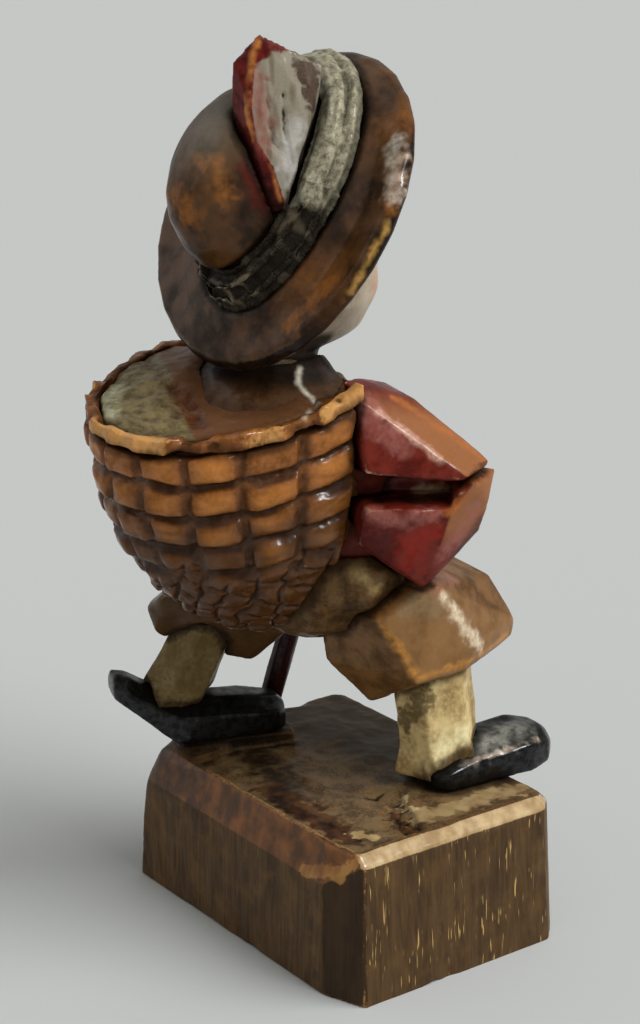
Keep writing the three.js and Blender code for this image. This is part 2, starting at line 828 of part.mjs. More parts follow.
function hatCrown(grow) {
  const shape = [
    [-0.1, 1.04, 1.04, 1],
    [0.25, 0.92, 0.9, 0.8],
    [0.55, 0.82, 0.79, 0.5],
    [0.78, 0.68, 0.63, 0.3],
    [0.93, 0.46, 0.43, 0.1],
    [1, 0.18, 0.17, 0],
  ];
  const last = shape.length - 1;
  const rings = shape.map(([rise, wide, long, shift], i) => {
    const shove = i === last ? grow : i === 0 ? -grow : 0;
    return hatRing(
      CROWN_HALF_WIDTH * wide + grow,
      CROWN_HALF_LENGTH * long + grow,
      shift,
      () => CROWN_FOOT + CROWN_HEIGHT * rise + shove,
    );
  });
  return loftRings(rings);
}

// Two strands side by side round the foot of the crown
function hatCord(grow) {
  const strand = CORD_STRAND;
  const step = (out, up) =>
    hatRing(
      CROWN_HALF_WIDTH + out,
      CROWN_HALF_LENGTH + out,
      1,
      () => CROWN_FOOT + BRIM_THICKNESS / 2 + up,
    );
  return loftRings(
    [
      step(-1.4 - grow, -0.6 - grow),
      step(strand * 1.7 + grow, -0.9 - grow),
      step(strand * 1.9 + grow, strand * 0.4),
      step(strand * 1.05, strand * 0.75 + grow),
      step(strand * 1.1, strand * 1.6 + grow),
      step(strand * 0.4, strand * 2.1 + grow),
      step(-1.4 - grow, strand * 2 + grow),
    ],
    true,
  );
}

// The feather is a ridged leaf on the right of the crown, its tip above the front of the brim.
// Corners run along the length from the quill, across from the crown outwards and up the crown.
function hatFeather(grow) {
  const corner = ([along, out, up]) =>
    vec(
      -CROWN_HALF_WIDTH + FEATHER_WIDTH * (1 - out),
      -FEATHER_LENGTH * along,
      CROWN_FOOT + CROWN_HEIGHT * up,
    )
      .applyMatrix4(hatPlace)
      .toArray();
  const ridge = [
    [-0.1, 1, 0.3],
    [0.13, 0.82, 0.72],
    [0.41, 0.64, 0.98],
    [0.8, 0.53, 1.13],
  ];
  const crownEdge = [
    [-0.16, 0.7, 0.34],
    [0.04, 0.36, 0.62],
    [0.36, 0.11, 0.95],
    [0.595, 0.18, 1.145],
  ];
  const outerEdge = [
    [0.14, 1.11, 0.42],
    [0.515, 1.07, 0.485],
    [0.83, 0.82, 0.5],
    [0.79, 0.71, 0.8],
  ];
  const foot = [
    [0.1, 0.6, 0.2],
    [0.6, 0.4, 0.2],
  ];
  return facetBlock([...ridge, ...crownEdge, ...outerEdge, ...foot].map(corner), grow);
}

// Basket: half a bowl hung behind the shoulders
const BASKET_X = 4.6;
const BASKET_Y = 6;
const BASKET_FRONT = BASKET_Y - 3;
const RIM = SHOULDER;
const RIM_DIP = 4.6;

// The rim dips most to the right of the back
function rimDip(turn) {
  return RIM_DIP * Math.sin(Math.PI * turn ** 0.65) ** 1.3;
}

// A point of the outer wall: turn runs from the right end (0) round the back to the left end (1),
// drop runs from the rim (0) down the belly to the bottom (1)
function basketPoint(turn, drop, out) {
  const around = Math.PI * (1 - turn);
  const sink = (drop * Math.PI) / 2;
  const wide = (BASKET_HALF_WIDTH + out) * Math.cos(sink) ** 0.9;
  const reach = (BASKET_REACH + out) * Math.cos(sink);
  const x = wide * Math.cos(around);
  const y = reach * Math.sin(around);
  const dip = rimDip(turn) * (1 - drop);
  return vec(BASKET_X + x, BASKET_Y + y, RIM - dip - (BASKET_HEIGHT + out) * Math.sin(sink));
}

const BELLY_SHARE = 0.93;
const RIM_DROP = (2 / Math.PI) * Math.asin(BASKET_RIM_HEIGHT / BASKET_HEIGHT);

// Shares of a cell that the groove takes before its pad
const COLUMN_GROOVE = 0.16;
const ROW_GROOVE = 0.28;

// Lines of each cell: the groove's middle, then the two edges of the raised pad
function weaveLines(cells, groove) {
  const lines = [];
  for (let cell = 0; cell < cells; cell++) {
    lines.push({ share: cell / cells, raised: false, cell });
    lines.push({ share: (cell + groove * 0.6) / cells, raised: true, cell });
    lines.push({ share: (cell + 1 - groove * 0.6) / cells, raised: true, cell });
  }
  lines.push({ share: 1, raised: false, cell: cells });
  return lines;
}

// The carved weave: pads stand over sunk grooves and every second pad stands a little higher
function basketShell() {
  const columns = weaveLines(WEAVE_COLUMNS, COLUMN_GROOVE);
  const rows = weaveLines(WEAVE_ROWS, ROW_GROOVE);
  const rings = rows.map((row) => {
    const drop = RIM_DROP + (BELLY_SHARE - RIM_DROP) * row.share;
    const arc = columns.map((column) => {
      const raised = row.raised && column.raised;
      const high = (row.cell + column.cell) % 2 === 0 ? WEAVE_STEP : 0;
      return basketPoint(column.share, drop, raised ? high : -WEAVE_GROOVE);
    });
    const [from, to] = [arc[arc.length - 1], arc[0]];
    return [...arc, from.clone().setY(BASKET_FRONT), to.clone().setY(BASKET_FRONT)];
  });
  return loftRings(rings).subtract(basketWell(0)).subtract(lidSpace());
}

// One level of the well, from the right end of its straight front wall round to the left end
function wellRing(inset, z) {
  const ring = [];
  const steps = 16;
  const wall = BASKET_FRONT + BASKET_WALL + inset;
  const start = Math.asin((wall - BASKET_Y) / (BASKET_REACH - inset)) / Math.PI;
  for (let i = 0; i <= steps; i++) {
    ring.push(basketPoint(start + (1 - 2 * start) * (i / steps), 0, -inset).setZ(z));
  }
  return ring;
}

function basketWell(inset) {
  const floor = RIM - BASKET_WELL + inset;
  return loftRings([wellRing(BASKET_WALL * 2.2 + inset, floor), wellRing(BASKET_WALL + inset, RIM + 12)]);
}

// The filling's lid, inside the rim
const LID_INSET = RIM_WALL + GLUE_GAP * 1.2;
const LID_UNDERSIDE = GLUE_GAP * 1.6 - BASKET_RIM_HEIGHT;

// One ring of the filling, that follows the dip of the rim
function loadRing(inset, rise, grow = 0) {
  const ring = [];
  const steps = 16;
  const front = BASKET_FRONT + BASKET_WALL * 3.2 + GLUE_GAP - grow;
  const start = Math.asin((front - BASKET_Y) / (BASKET_REACH - inset + grow)) / Math.PI;
  for (let i = 0; i <= steps; i++) {
    const turn = start + (1 - 2 * start) * (i / steps);
    ring.push(basketPoint(turn, 0, grow - inset).add(vec(0, 0, rise)));
  }
  return ring;
}

function lidSpace() {
  return loftRings([
    loadRing(BASKET_WALL * 2.4, LID_UNDERSIDE - GLUE_GAP, GLUE_GAP),
    loadRing(LID_INSET, LID_UNDERSIDE - GLUE_GAP, GLUE_GAP),
    loadRing(LID_INSET, BASKET_WELL, GLUE_GAP),
  ]);
}

function basketRim(grow) {
  const steps = 30;
  const sections = [];
  for (let i = 0; i <= steps; i++) {
    const turn = i / steps;
    const notch = i % 2 === 0 ? 0 : 0.35;
    const outer = basketPoint(turn, 0, 0.3 + grow - notch);
    const inner = basketPoint(turn, 0, -RIM_WALL - grow);
    sections.push([
      inner.clone().add(vec(0, 0, grow)),
      outer.clone().add(vec(0, 0, grow - notch)),
      basketPoint(turn, RIM_DROP, 0.4 + grow - notch),
      inner.clone().add(vec(0, 0, -BASKET_RIM_HEIGHT - grow)),
    ]);
  }
  return loftRings(sections);
}

// The filling: a plug in the well under a lid that lies flush with the rim and swells towards the neck
function basketLoad() {
  return loftRings([
    wellRing(BASKET_WALL * 2.2 + GLUE_GAP, RIM - BASKET_WELL + GLUE_GAP),
    loadRing(BASKET_WALL * 2.05, LID_UNDERSIDE),
    loadRing(LID_INSET, LID_UNDERSIDE),
    loadRing(LID_INSET, -LOAD_BELOW_RIM),
    loadRing(BASKET_REACH * 0.45, LOAD_SWELL),
  ]);
}

// A carrying strap from the top of the shoulder down the chest and round under the arm
function strap(sign, grow) {
  const x = (offset) => BODY_X + sign * offset;
  const route = new THREE.CatmullRomCurve3([
    vec(x(6), 4.6, SHOULDER - 2),
    vec(x(6.4), 1.6, SHOULDER - 3.6),
    vec(x(6.8), -2.8, SHOULDER - 7.4),
    vec(x(8), -5.2, SHOULDER - 12.6),
    vec(x(11.2), -3, SHOULDER - 18),
  ]);
  const [w, t] = [STRAP_WIDTH / 2 + grow, STRAP_THICKNESS / 2 + grow];
  const steps = 24;
  const rings = [];
  for (let i = 0; i <= steps; i++) {
    const at = route.getPoint(i / steps);
    const along = route.getTangent(i / steps);
    const out = at.clone().sub(vec(BODY_X, 3, at.z - 4)).normalize();
    out.addScaledVector(along, -out.dot(along)).normalize();
    const across = along.clone().cross(out);
    const outline = [
      [-w, -t],
      [w, -t],
      [w, t],
      [-w, t],
    ];
    rings.push(outline.map(([a, b]) => at.clone().addScaledVector(across, a).addScaledVector(out, b)));
  }
  return loftRings(rings);
}

// Pieces in order of standing: each is cut clear of all those before it
const PIECES = [
  { name: 'staff', make: staff, colour: COLOURS.staff, roughness: 0.35 },
  { name: 'base_block', make: baseBlock, colour: COLOURS.base, roughness: 0.5 },
  { name: 'right_shoe', make: rightShoe, colour: COLOURS.shoe, roughness: 0.3 },
  { name: 'left_shoe', make: leftShoe, colour: COLOURS.shoe, roughness: 0.3 },
  { name: 'hat_feather', make: hatFeather, colour: COLOURS.feather, roughness: 0.4 },
  { name: 'hat_cord', make: hatCord, colour: COLOURS.cord, roughness: 0.5 },
  { name: 'hat_crown', make: hatCrown, colour: COLOURS.hat, roughness: 0.35 },
  { name: 'hat_brim', make: hatBrim, colour: COLOURS.hat, roughness: 0.35 },
  { name: 'head', make: head, colour: COLOURS.skin, roughness: 0.5 },
  { name: 'hair', make: hair, colour: COLOURS.hair, roughness: 0.5 },
  { name: 'shirt_collar', make: shirtCollar, colour: COLOURS.linen, roughness: 0.55 },
  { name: 'right_upper_sleeve', make: rightUpperSleeve, colour: COLOURS.sleeve, roughness: 0.4 },
  { name: 'right_fore_sleeve', make: rightForeSleeve, colour: COLOURS.sleeve, roughness: 0.4 },
  { name: 'left_hand', make: leftFist, colour: COLOURS.skin, roughness: 0.5 },
  { name: 'left_upper_sleeve', make: leftUpperSleeve, colour: COLOURS.sleeve, roughness: 0.4 },
  { name: 'left_fore_sleeve', make: leftForeSleeve, colour: COLOURS.sleeve, roughness: 0.4 },
  { name: 'shirt_front', make: shirtFront, colour: COLOURS.linen, roughness: 0.55 },
  { name: 'vest_back', make: vestBack, colour: COLOURS.vest, roughness: 0.4 },
  { name: 'jacket_body', make: jacketBody, colour: COLOURS.jacket, roughness: 0.4 },
  { name: 'right_strap', make: (grow) => strap(-1, grow), colour: COLOURS.strap, roughness: 0.55 },
  { name: 'left_strap', make: (grow) => strap(1, grow), colour: COLOURS.strap, roughness: 0.55 },
  { name: 'right_stocking', make: rightStocking, colour: COLOURS.stocking, roughness: 0.6 },
  { name: 'left_stocking', make: leftStocking, colour: COLOURS.stocking, roughness: 0.6 },
  { name: 'right_breeches_leg', make: rightBreeches, colour: COLOURS.breeches, roughness: 0.45 },
  { name: 'left_breeches_leg', make: leftBreeches, colour: COLOURS.breeches, roughness: 0.45 },
  { name: 'breeches_seat', make: breechesSeat, colour: COLOURS.seat, roughness: 0.5 },
  { name: 'basket_rim', make: basketRim, colour: COLOURS.rim, roughness: 0.4 },
  { name: 'basket_shell', make: basketShell, colour: COLOURS.basket, roughness: 0.4 },
  { name: 'basket_load', make: basketLoad, colour: COLOURS.load, roughness: 0.7 },
];

function boxesMeet(a, b) {
  const [p, q] = [a.boundingBox(), b.boundingBox()];
  return [0, 1, 2].every((i) => p.min[i] <= q.max[i] && q.min[i] <= p.max[i]);
}

function largestBody(solid) {
  const bodies = solid.decompose();
  return bodies.reduce((best, body) => (body.volume() > best.volume() ? body : best));
}

function cutClear(piece, earlier) {
  let solid = piece.make(0);
  for (const other of earlier) {
    const keepOut = other.make(GLUE_GAP);
    if (boxesMeet(solid, keepOut)) {
      solid = solid.subtract(keepOut);
    }
  }
  return largestBody(largestBody(solid).asOriginal().simplify(SLIVER));
}

function meshOf(piece, solid) {
  const { vertProperties, triVerts } = solid.getMesh();
  const geometry = new THREE.BufferGeometry();
  geometry.setAttribute('position', new THREE.BufferAttribute(new Float32Array(vertProperties), 3));
  geometry.setIndex(new THREE.BufferAttribute(new Uint32Array(triVerts), 1));
  geometry.computeVertexNormals();
  const material = new THREE.MeshStandardMaterial({
    color: piece.colour,
    roughness: piece.roughness,
    metalness: 0,
  });
  const mesh = new THREE.Mesh(geometry, material);
  mesh.name = piece.name;
  return mesh;
}

const figurine = new THREE.Group();
figurine.name = 'figurine';
PIECES.forEach((piece, i) => {
  figurine.add(meshOf(piece, cutClear(piece, PIECES.slice(0, i))));
});

export default figurine;
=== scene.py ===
import math

import bmesh
import bpy
import numpy as np
from mathutils import Matrix, Vector


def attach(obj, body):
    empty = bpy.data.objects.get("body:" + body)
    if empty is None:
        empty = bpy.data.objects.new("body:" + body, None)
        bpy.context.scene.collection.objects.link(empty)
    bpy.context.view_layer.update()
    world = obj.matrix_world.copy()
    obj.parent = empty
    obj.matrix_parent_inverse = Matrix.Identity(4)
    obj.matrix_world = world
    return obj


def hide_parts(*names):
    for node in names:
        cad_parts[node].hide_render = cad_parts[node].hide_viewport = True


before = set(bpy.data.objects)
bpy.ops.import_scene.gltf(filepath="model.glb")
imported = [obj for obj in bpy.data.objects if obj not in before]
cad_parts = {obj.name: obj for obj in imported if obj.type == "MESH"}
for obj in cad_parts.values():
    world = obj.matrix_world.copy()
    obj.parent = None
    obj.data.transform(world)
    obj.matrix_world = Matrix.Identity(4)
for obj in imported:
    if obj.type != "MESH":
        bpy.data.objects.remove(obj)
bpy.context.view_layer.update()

# Units, and the distance in metres at which corners of a solid are merged
MM_IN_METRE = 1000
METRES_IN_MM = 0.001
MERGE = 1e-6

# Sizes and places on the carving, in millimetres
RIM = 65.5
BODY_X = 3.0
HEAD_Z = 77.0
FACE_Y = -4.6
EYE_X = 3.1
NAPE_Y = (2.5, 4.0)
NAPE_Z = (68.6, 70.2)
JACKET_HEM = 45.2
JACKET_OPENING = 50.0
LAPEL_FOOT = 52.0
SLEEVE_FOOT = (46.0, 50.0)
SHOULDER_Z = (54.5, 55.5)
SHOULDER_REACH = (11.0, 16.0)
NECK_SHADOW = (63.0, 65.2)
VEST_FLARE = 0.4
FLARE_END = (62.5, 65.0)
SEAM_FILL = 0.1
FIST = Vector((12.6, -8.6, 50.0))
FINGER_WIDTH = 1.55
FIRST_FINGER = 3.1
HAT_SEAT = Vector((2.4, 6.2, 81.9))
CORD_MIDDLE = (-1.0, -2.0)
FEATHER_TIP = (96.6, 98.4)
BASE_TOP_EDGE = (-18.2, 12.6)
BASKET_PLACE = (4.6, 6.0)
BASKET_REACH = (15.3, 22.4)
BASKET_HEIGHT = 30.0
BASKET_DIP = 4.6
LOAD_SPLIT = (-2.0, 21.3)

# Leans of the staff and the hat, the oval of the cord's ring, and the way across the basket's filling
STAFF_LEAN = Vector((-0.14, -0.24, 1.0)).normalized()
HAT_TILT = math.radians(60)
CORD_SQUASH = 0.64
CORD_LEAN = 0.41
LOAD_ACROSS = (0.39, 0.92)

# The basket's weave: its ends as shares of the way down, its counts and the curve of the dipped rim
WEAVE_TOP = 0.036
WEAVE_FOOT = 0.93
WEAVE_ROWS = 10
WEAVE_COLUMNS = 10
DIP_SKEW = 0.65
DIP_CURVE = 1.3

# Rubbing, as shares of the way to the mean of a point's neighbours
ROUND_SHARES = (0.55, -0.56)
RUB_SHARE = 0.5

# Knife cuts: stand of an edge and deepest cut in millimetres, the rest as shares
EDGE_STAND = 0.01
DEEPEST_CUT = 0.5
KNIFE_WOBBLE = 0.06
CUT_RANGE = (0.4, 1.3)
CUT_CORE = 0.4

# Wear on what stands out and grime in what lies back, in millimetres
WEAR_REACH = 0.62
WEAR_FROM = 0.03
WEAR_RISE = 0.16
GRIME_FROM = 0.02
GRIME_RISE = 0.14

# Crowding by other pieces: cell and margin in millimetres, edge and spread in cells, full seam as a sum
CROWD_CELL = 0.5
CROWD_MARGIN = 4
CROWD_EDGE = 6
CROWD_SPREAD = 2
CROWD_FULL = 26.0

# Paint: depth of its relief in metres, shine of bare paint, raggedness of chips and offsets of the noise
PAINT_RELIEF = 0.00006
PLAIN_SHINE = 0.1
CHIP_ROUGH = 0.65
NOISE_SHIFT = (7.3, 3.1, 5.7)


# Noise for hand work

SCATTER = np.random.default_rng(5).permutation(512)
SCATTER_TOP = len(SCATTER) - 1
SEED_STEP = 17.31


def lumps(points, size, seed=0):
    """Smooth noise from -1 to 1 with lumps about as large as size, a number or one number per axis."""
    q = points / np.asarray(size, float) + seed * SEED_STEP
    cell = np.floor(q).astype(np.int64)
    part = q - cell
    part = part * part * (3 - 2 * part)
    total = np.zeros(len(points))
    for dx in (0, 1):
        wx = part[:, 0] if dx else 1 - part[:, 0]
        row = SCATTER[(cell[:, 0] + dx) % len(SCATTER)]
        for dy in (0, 1):
            wy = part[:, 1] if dy else 1 - part[:, 1]
            line = SCATTER[(row + cell[:, 1] + dy) % len(SCATTER)]
            for dz in (0, 1):
                wz = part[:, 2] if dz else 1 - part[:, 2]
                total += wx * wy * wz * SCATTER[(line + cell[:, 2] + dz) % len(SCATTER)]
    return total / (SCATTER_TOP / 2) - 1


def ease(value, low, high):
    """0 below low, 1 above high and a smooth rise between them."""
    t = np.clip((value - low) / (high - low), 0, 1)
    return t * t * (3 - 2 * t)


class Carving:
    """One piece of wood on the bench, in millimetres."""

    def __init__(self, node, voxel):
        self.node = node
        self.voxel = voxel
        self.marks = {}
        mesh = bpy.data.meshes.new(node + "_blank")
        work = bmesh.new()
        work.from_mesh(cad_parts[node].data)
        bmesh.ops.remove_doubles(work, verts=work.verts, dist=MERGE)
        bmesh.ops.transform(work, matrix=Matrix.Scale(MM_IN_METRE, 4), verts=work.verts)
        work.to_mesh(mesh)
        work.free()
        self.piece = bpy.data.objects.new(node + "_carved", mesh)
        bpy.context.scene.collection.objects.link(self.piece)
        remesh = self.piece.modifiers.new("even_skin", "REMESH")
        remesh.mode = "VOXEL"
        remesh.voxel_size = voxel
        remesh.use_smooth_shade = True
        graph = bpy.context.evaluated_depsgraph_get()
        skin = bpy.data.meshes.new_from_object(self.piece.evaluated_get(graph))
        self.piece.modifiers.clear()
        self.piece.data = skin
        self.mesh = skin
        skin.name = node + "_carved"
        count = len(skin.vertices)
        self.co = np.empty(count * 3)
        skin.vertices.foreach_get("co", self.co)
        self.co = self.co.reshape(-1, 3)
        pairs = np.empty(len(skin.edges) * 2, np.int32)
        skin.edges.foreach_get("vertices", pairs)
        self.a, self.b = pairs.reshape(-1, 2).T
        links = np.bincount(self.a, minlength=count) + np.bincount(self.b, minlength=count)
        self.links = np.maximum(links, 1)
        self.look()

    def look(self):
        """Sets the mesh to the points and reads its normals again."""
        self.mesh.vertices.foreach_set("co", self.co.ravel())
        self.mesh.update()
        normal = np.empty(self.co.size)
        self.mesh.vertices.foreach_get("normal", normal)
        self.normal = normal.reshape(-1, 3)

    def mean(self, field):
        """The mean of each point's neighbours."""
        count = len(self.co)
        columns = field.reshape(count, -1)
        out = np.empty_like(columns)
        for k in range(columns.shape[1]):
            column = columns[:, k]
            total = np.bincount(self.a, column[self.b], count)
            out[:, k] = total + np.bincount(self.b, column[self.a], count)
        out /= self.links[:, None]
        return out.reshape(field.shape)

    def relax(self, times):
        """Rounds the edges without shrinking the piece."""
        for _ in range(times):
            for share in ROUND_SHARES:
                self.co = self.co + share * (self.mean(self.co) - self.co)
        self.look()

    def rub(self, times, where=1.0):
        """Wears the piece down, all over or as much as where says for each point."""
        share = RUB_SHARE * np.reshape(where, (-1, 1))
        for _ in range(times):
            self.co = self.co + share * (self.mean(self.co) - self.co)
        self.look()

    def push(self, amount):
        """Moves the surface out by an amount, the same for all points or one for each."""
        self.co = self.co + self.normal * np.asarray(amount).reshape(-1, 1)
        self.look()

    def shave(self, count, depth, seed, reach=3.0):
        """Flat knife cuts along the edges: each takes off what stands above a plane just under the edge."""
        chance = np.random.default_rng(seed)
        sharp = np.clip(self.bend(6) - EDGE_STAND, 0, None)
        for at in chance.choice(len(self.co), count, p=sharp / sharp.sum()):
            way = self.normal[at] + chance.normal(0, KNIFE_WOBBLE, 3)
            way /= np.linalg.norm(way)
            apart = self.co - self.co[at]
            gap = np.sqrt(np.einsum("ij,ij->i", apart, apart))
            near = gap < reach
            above = np.clip(apart[near] @ way + depth * chance.uniform(*CUT_RANGE), 0, DEEPEST_CUT)
            self.co[near] -= (above * (1 - ease(gap[near], reach * CUT_CORE, reach)))[:, None] * way
        self.look()

    def stroke(self, points, width):
        """1 along a ragged line through the points, falling to 0 at about twice the width."""
        best = np.full(len(self.co), 1e9)
        path = [np.array(p, float) for p in points]
        if len(path) == 1:
            path = path * 2
        for start, end in zip(path, path[1:]):
            way = end - start
            t = np.clip(((self.co - start) @ way) / max(way @ way, 1e-9), 0, 1)
            gap = self.co - start - t[:, None] * way
            best = np.minimum(best, np.einsum("ij,ij->i", gap, gap))
        ragged = 0.7 * lumps(self.co, 0.9, 31) + 0.5 * lumps(self.co, 0.4, 32)
        return 1 - ease(np.sqrt(best) + width * ragged, 0.0, width * 2)

    def mark(self, name, values):
        """Keeps a value per point for the finish to read, the larger one where two marks meet."""
        values = np.clip(values, 0, 1)
        self.marks[name] = np.maximum(self.marks[name], values) if name in self.marks else values

    def bend(self, times):
        """How far each point stands out of its smoothed surroundings, in millimetres."""
        soft = self.co
        for _ in range(times):
            soft = soft + RUB_SHARE * (self.mean(soft) - soft)
        return np.einsum("ij,ij->i", self.co - soft, self.normal)

    def done(self, finish, slot):
        """Takes the piece off the bench, back to metres, with its marks and its finish."""
        self.look()
        self.mesh.vertices.foreach_set("co", (self.co * METRES_IN_MM).ravel())
        self.mesh.polygons.foreach_set("use_smooth", np.ones(len(self.mesh.polygons), bool))
        self.mesh.update()
        for name, values in self.marks.items():
            layer = self.mesh.attributes.new(name, "FLOAT", "POINT")
            layer.data.foreach_set("value", values.astype(np.float32))
        self.mesh.materials.clear()
        self.mesh.materials.append(finish)
        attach(self.piece, "root")
        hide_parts(self.node)


# Shader values and finishes


class Value:
    """A shader value: arithmetic on it adds Math nodes."""

    def __init__(self, finish, socket):
        self.finish = finish
        self.socket = socket

    def math(self, operation, first, second):
        """The result of a new Math node."""
        node = self.finish.node("ShaderNodeMath", {"operation": operation}, {0: first, 1: second})
        return Value(self.finish, node.outputs[0])

    def __add__(self, other):
        return self.math("ADD", self, other)

    def __radd__(self, other):
        return self.math("ADD", other, self)

    def __sub__(self, other):
        return self.math("SUBTRACT", self, other)

    def __rsub__(self, other):
        return self.math("SUBTRACT", other, self)

    def __mul__(self, other):
        return self.math("MULTIPLY", self, other)

    def __rmul__(self, other):
        return self.math("MULTIPLY", other, self)


def paint(red, green, blue):
    """A colour as a paint card gives it, 0 to 255, for a shader socket."""
    def linear(c):
        c /= 255
        return c / 12.92 if c <= 0.04045 else ((c + 0.055) / 1.055) ** 2.4
    return (linear(red), linear(green), linear(blue), 1.0)


class Finish:
    """A painted or stained finish on wood."""

    def __init__(self, name):
        self.material = bpy.data.materials.new(name)
        self.material.use_nodes = True
        self.tree = self.material.node_tree
        self.tree.nodes.clear()
        self.shader = self.node("ShaderNodeBsdfPrincipled")
        self.node("ShaderNodeOutputMaterial", {}, {"Surface": self.shader.outputs[0]})
        self.place = self.node("ShaderNodeTexCoord").outputs["Object"]

    def fill(self, node, sockets):
        """Links sockets of a node to shader values and sets the rest of them to constants."""
        for key, value in sockets.items():
            if isinstance(value, Value):
                value = value.socket
            if isinstance(value, bpy.types.NodeSocket):
                self.tree.links.new(value, node.inputs[key])
            else:
                node.inputs[key].default_value = value

    def node(self, kind, settings=None, sockets=None):
        """A new shader node with its settings and filled sockets."""
        node = self.tree.nodes.new(kind)
        for key, value in (settings or {}).items():
            setattr(node, key, value)
        self.fill(node, sockets or {})
        return node

    def read(self, name):
        """A mark that was kept on the piece."""
        return Value(self, self.node("ShaderNodeAttribute", {"attribute_name": name}).outputs["Fac"])

    def noise(self, size, detail, seed, rough=0.55, stretch=(1, 1, 1)):
        """Noise with lumps of that size in millimetres, drawn out along an axis by stretch."""
        scale = [MM_IN_METRE / (size * s) for s in stretch]
        shift = [seed * s for s in NOISE_SHIFT]
        mapping = {"Vector": self.place, "Scale": scale, "Location": shift}
        place = self.node("ShaderNodeMapping", {}, mapping).outputs[0]
        sockets = {"Vector": place, "Scale": 1.0, "Detail": detail, "Roughness": rough}
        return Value(self, self.node("ShaderNodeTexNoise", {}, sockets).outputs[0])

    def step(self, value, low, high):
        """0 below low, 1 above high and a smooth rise between them."""
        node = self.node(
            "ShaderNodeMapRange",
            {"interpolation_type": "SMOOTHSTEP"},
            {"Value": value, "From Min": low, "From Max": high, "To Min": 0.0, "To Max": 1.0},
        )
        return Value(self, node.outputs[0])

    def mix(self, share, first, second):
        """The first colour with a share of the second over it, each a socket or a paint card's tone."""
        first, second = (paint(*tone) if isinstance(tone, tuple) else tone for tone in (first, second))
        node = self.node("ShaderNodeMix", {"data_type": "RGBA"}, {0: share, 6: first, 7: second})
        return node.outputs[2]

    def worn(self, chip, low, high, wear=1.0):
        """Where the paint is rubbed off the edges in ragged chips."""
        return self.step(self.read("wear") * wear + (chip - 0.5) * 0.9, low, high)

    def darkened(self, fine, low):
        """Where stain has settled in the creases, with painted shade in the seams between pieces."""
        return self.step(self.read("grime_and_shade") + (fine - 0.5) * 0.5, low, 0.85)

    def close(self, colour, rough, coat, height, bump, coat_rough=0.18):
        """Sets the shader's sockets: varnish over paint over wood."""
        sockets = {"Strength": bump, "Distance": PAINT_RELIEF, "Height": height}
        relief = self.node("ShaderNodeBump", {}, sockets)
        self.fill(self.shader, {
            "Base Color": colour,
            "Roughness": rough,
            "Coat Weight": coat,
            "Coat Roughness": coat_rough,
            "Specular IOR Level": PLAIN_SHINE,
            "Normal": relief.outputs[0],
        })
        return self.material


def worn_paint(name, tones, bare, crease_tone, patches=(), glazes=(), lump=1.4, rough=0.42, coat=0.2, wear=1.0,
               grime_and_shade=0.9, bump=0.4, seed=0.0, gleam=0.16, mottle=0.3, speckle=0.2):
    """Mottled paint with patches and thin glazes, bare wood on worn edges, stain in creases and painted
    shade in seams.

    A patch is a mark, a tone and a share. A glaze also says how broken it is.
    """
    dark, mid, light = tones
    f = Finish(name)
    coarse = f.noise(lump, 4.0, seed)
    fine = f.noise(lump * 0.24, 3.0, seed + 1)
    speck = f.noise(0.16, 2.0, seed + 2)
    chip = f.noise(0.55, 5.0, seed + 3, CHIP_ROUGH)
    colour = f.mix(f.step(coarse * (1 - speckle) + fine * speckle, 0.34, 0.64), dark, mid)
    colour = f.mix(f.step(fine * 0.6 + speck * 0.4, 0.46, 0.74) * mottle, colour, light)
    for mask, tone, share in patches:
        area = f.step(f.read(mask) * 1.25 + (chip - 0.5) * 1.3 + (coarse - 0.5) * 0.6, 0.35, 1.05)
        colour = f.mix(area * share * (0.7 + fine * 0.6), colour, tone)
    holes = 1 - f.step(chip * 0.6 + fine * 0.4, 0.36, 0.66)
    for mask, tone, share, broken in glazes:
        colour = f.mix(f.read(mask) * (1 - holes * broken) * share, colour, tone)
    worn = f.worn(chip, 0.42, 0.8, wear)
    colour = f.mix(worn * 0.9, colour, f.mix(f.step(fine, 0.4, 0.62), bare[0], bare[1]))
    darkened = f.darkened(fine, 0.22)
    colour = f.mix(darkened * grime_and_shade, colour, crease_tone)
    roughness = rough + (fine - 0.5) * 0.3 + darkened * 0.2
    varnish = coat * (1 - darkened * 0.8) * (0.25 + 0.75 * f.step(coarse, 0.38, 0.6))
    height = fine * 0.5 + speck * 0.3 + chip * 0.4
    return f.close(colour, roughness, varnish, height, bump, coat_rough=gleam)


# Shaping of the pieces


def hat_frame(points):
    """Points in the hat's own frame: +Z up the crown, -Y towards the front of the brim."""
    p = points - np.array(HAT_SEAT)
    c, s = math.cos(HAT_TILT), math.sin(HAT_TILT)
    return np.stack([p[:, 0], c * p[:, 1] - s * p[:, 2], s * p[:, 1] + c * p[:, 2]], 1)


def basket_plan(points):
    """Points seen from above, as shares of the basket's reach from its middle."""
    x = (points[:, 0] - BASKET_PLACE[0]) / BASKET_REACH[0]
    y = (points[:, 1] - BASKET_PLACE[1]) / BASKET_REACH[1]
    return x, y


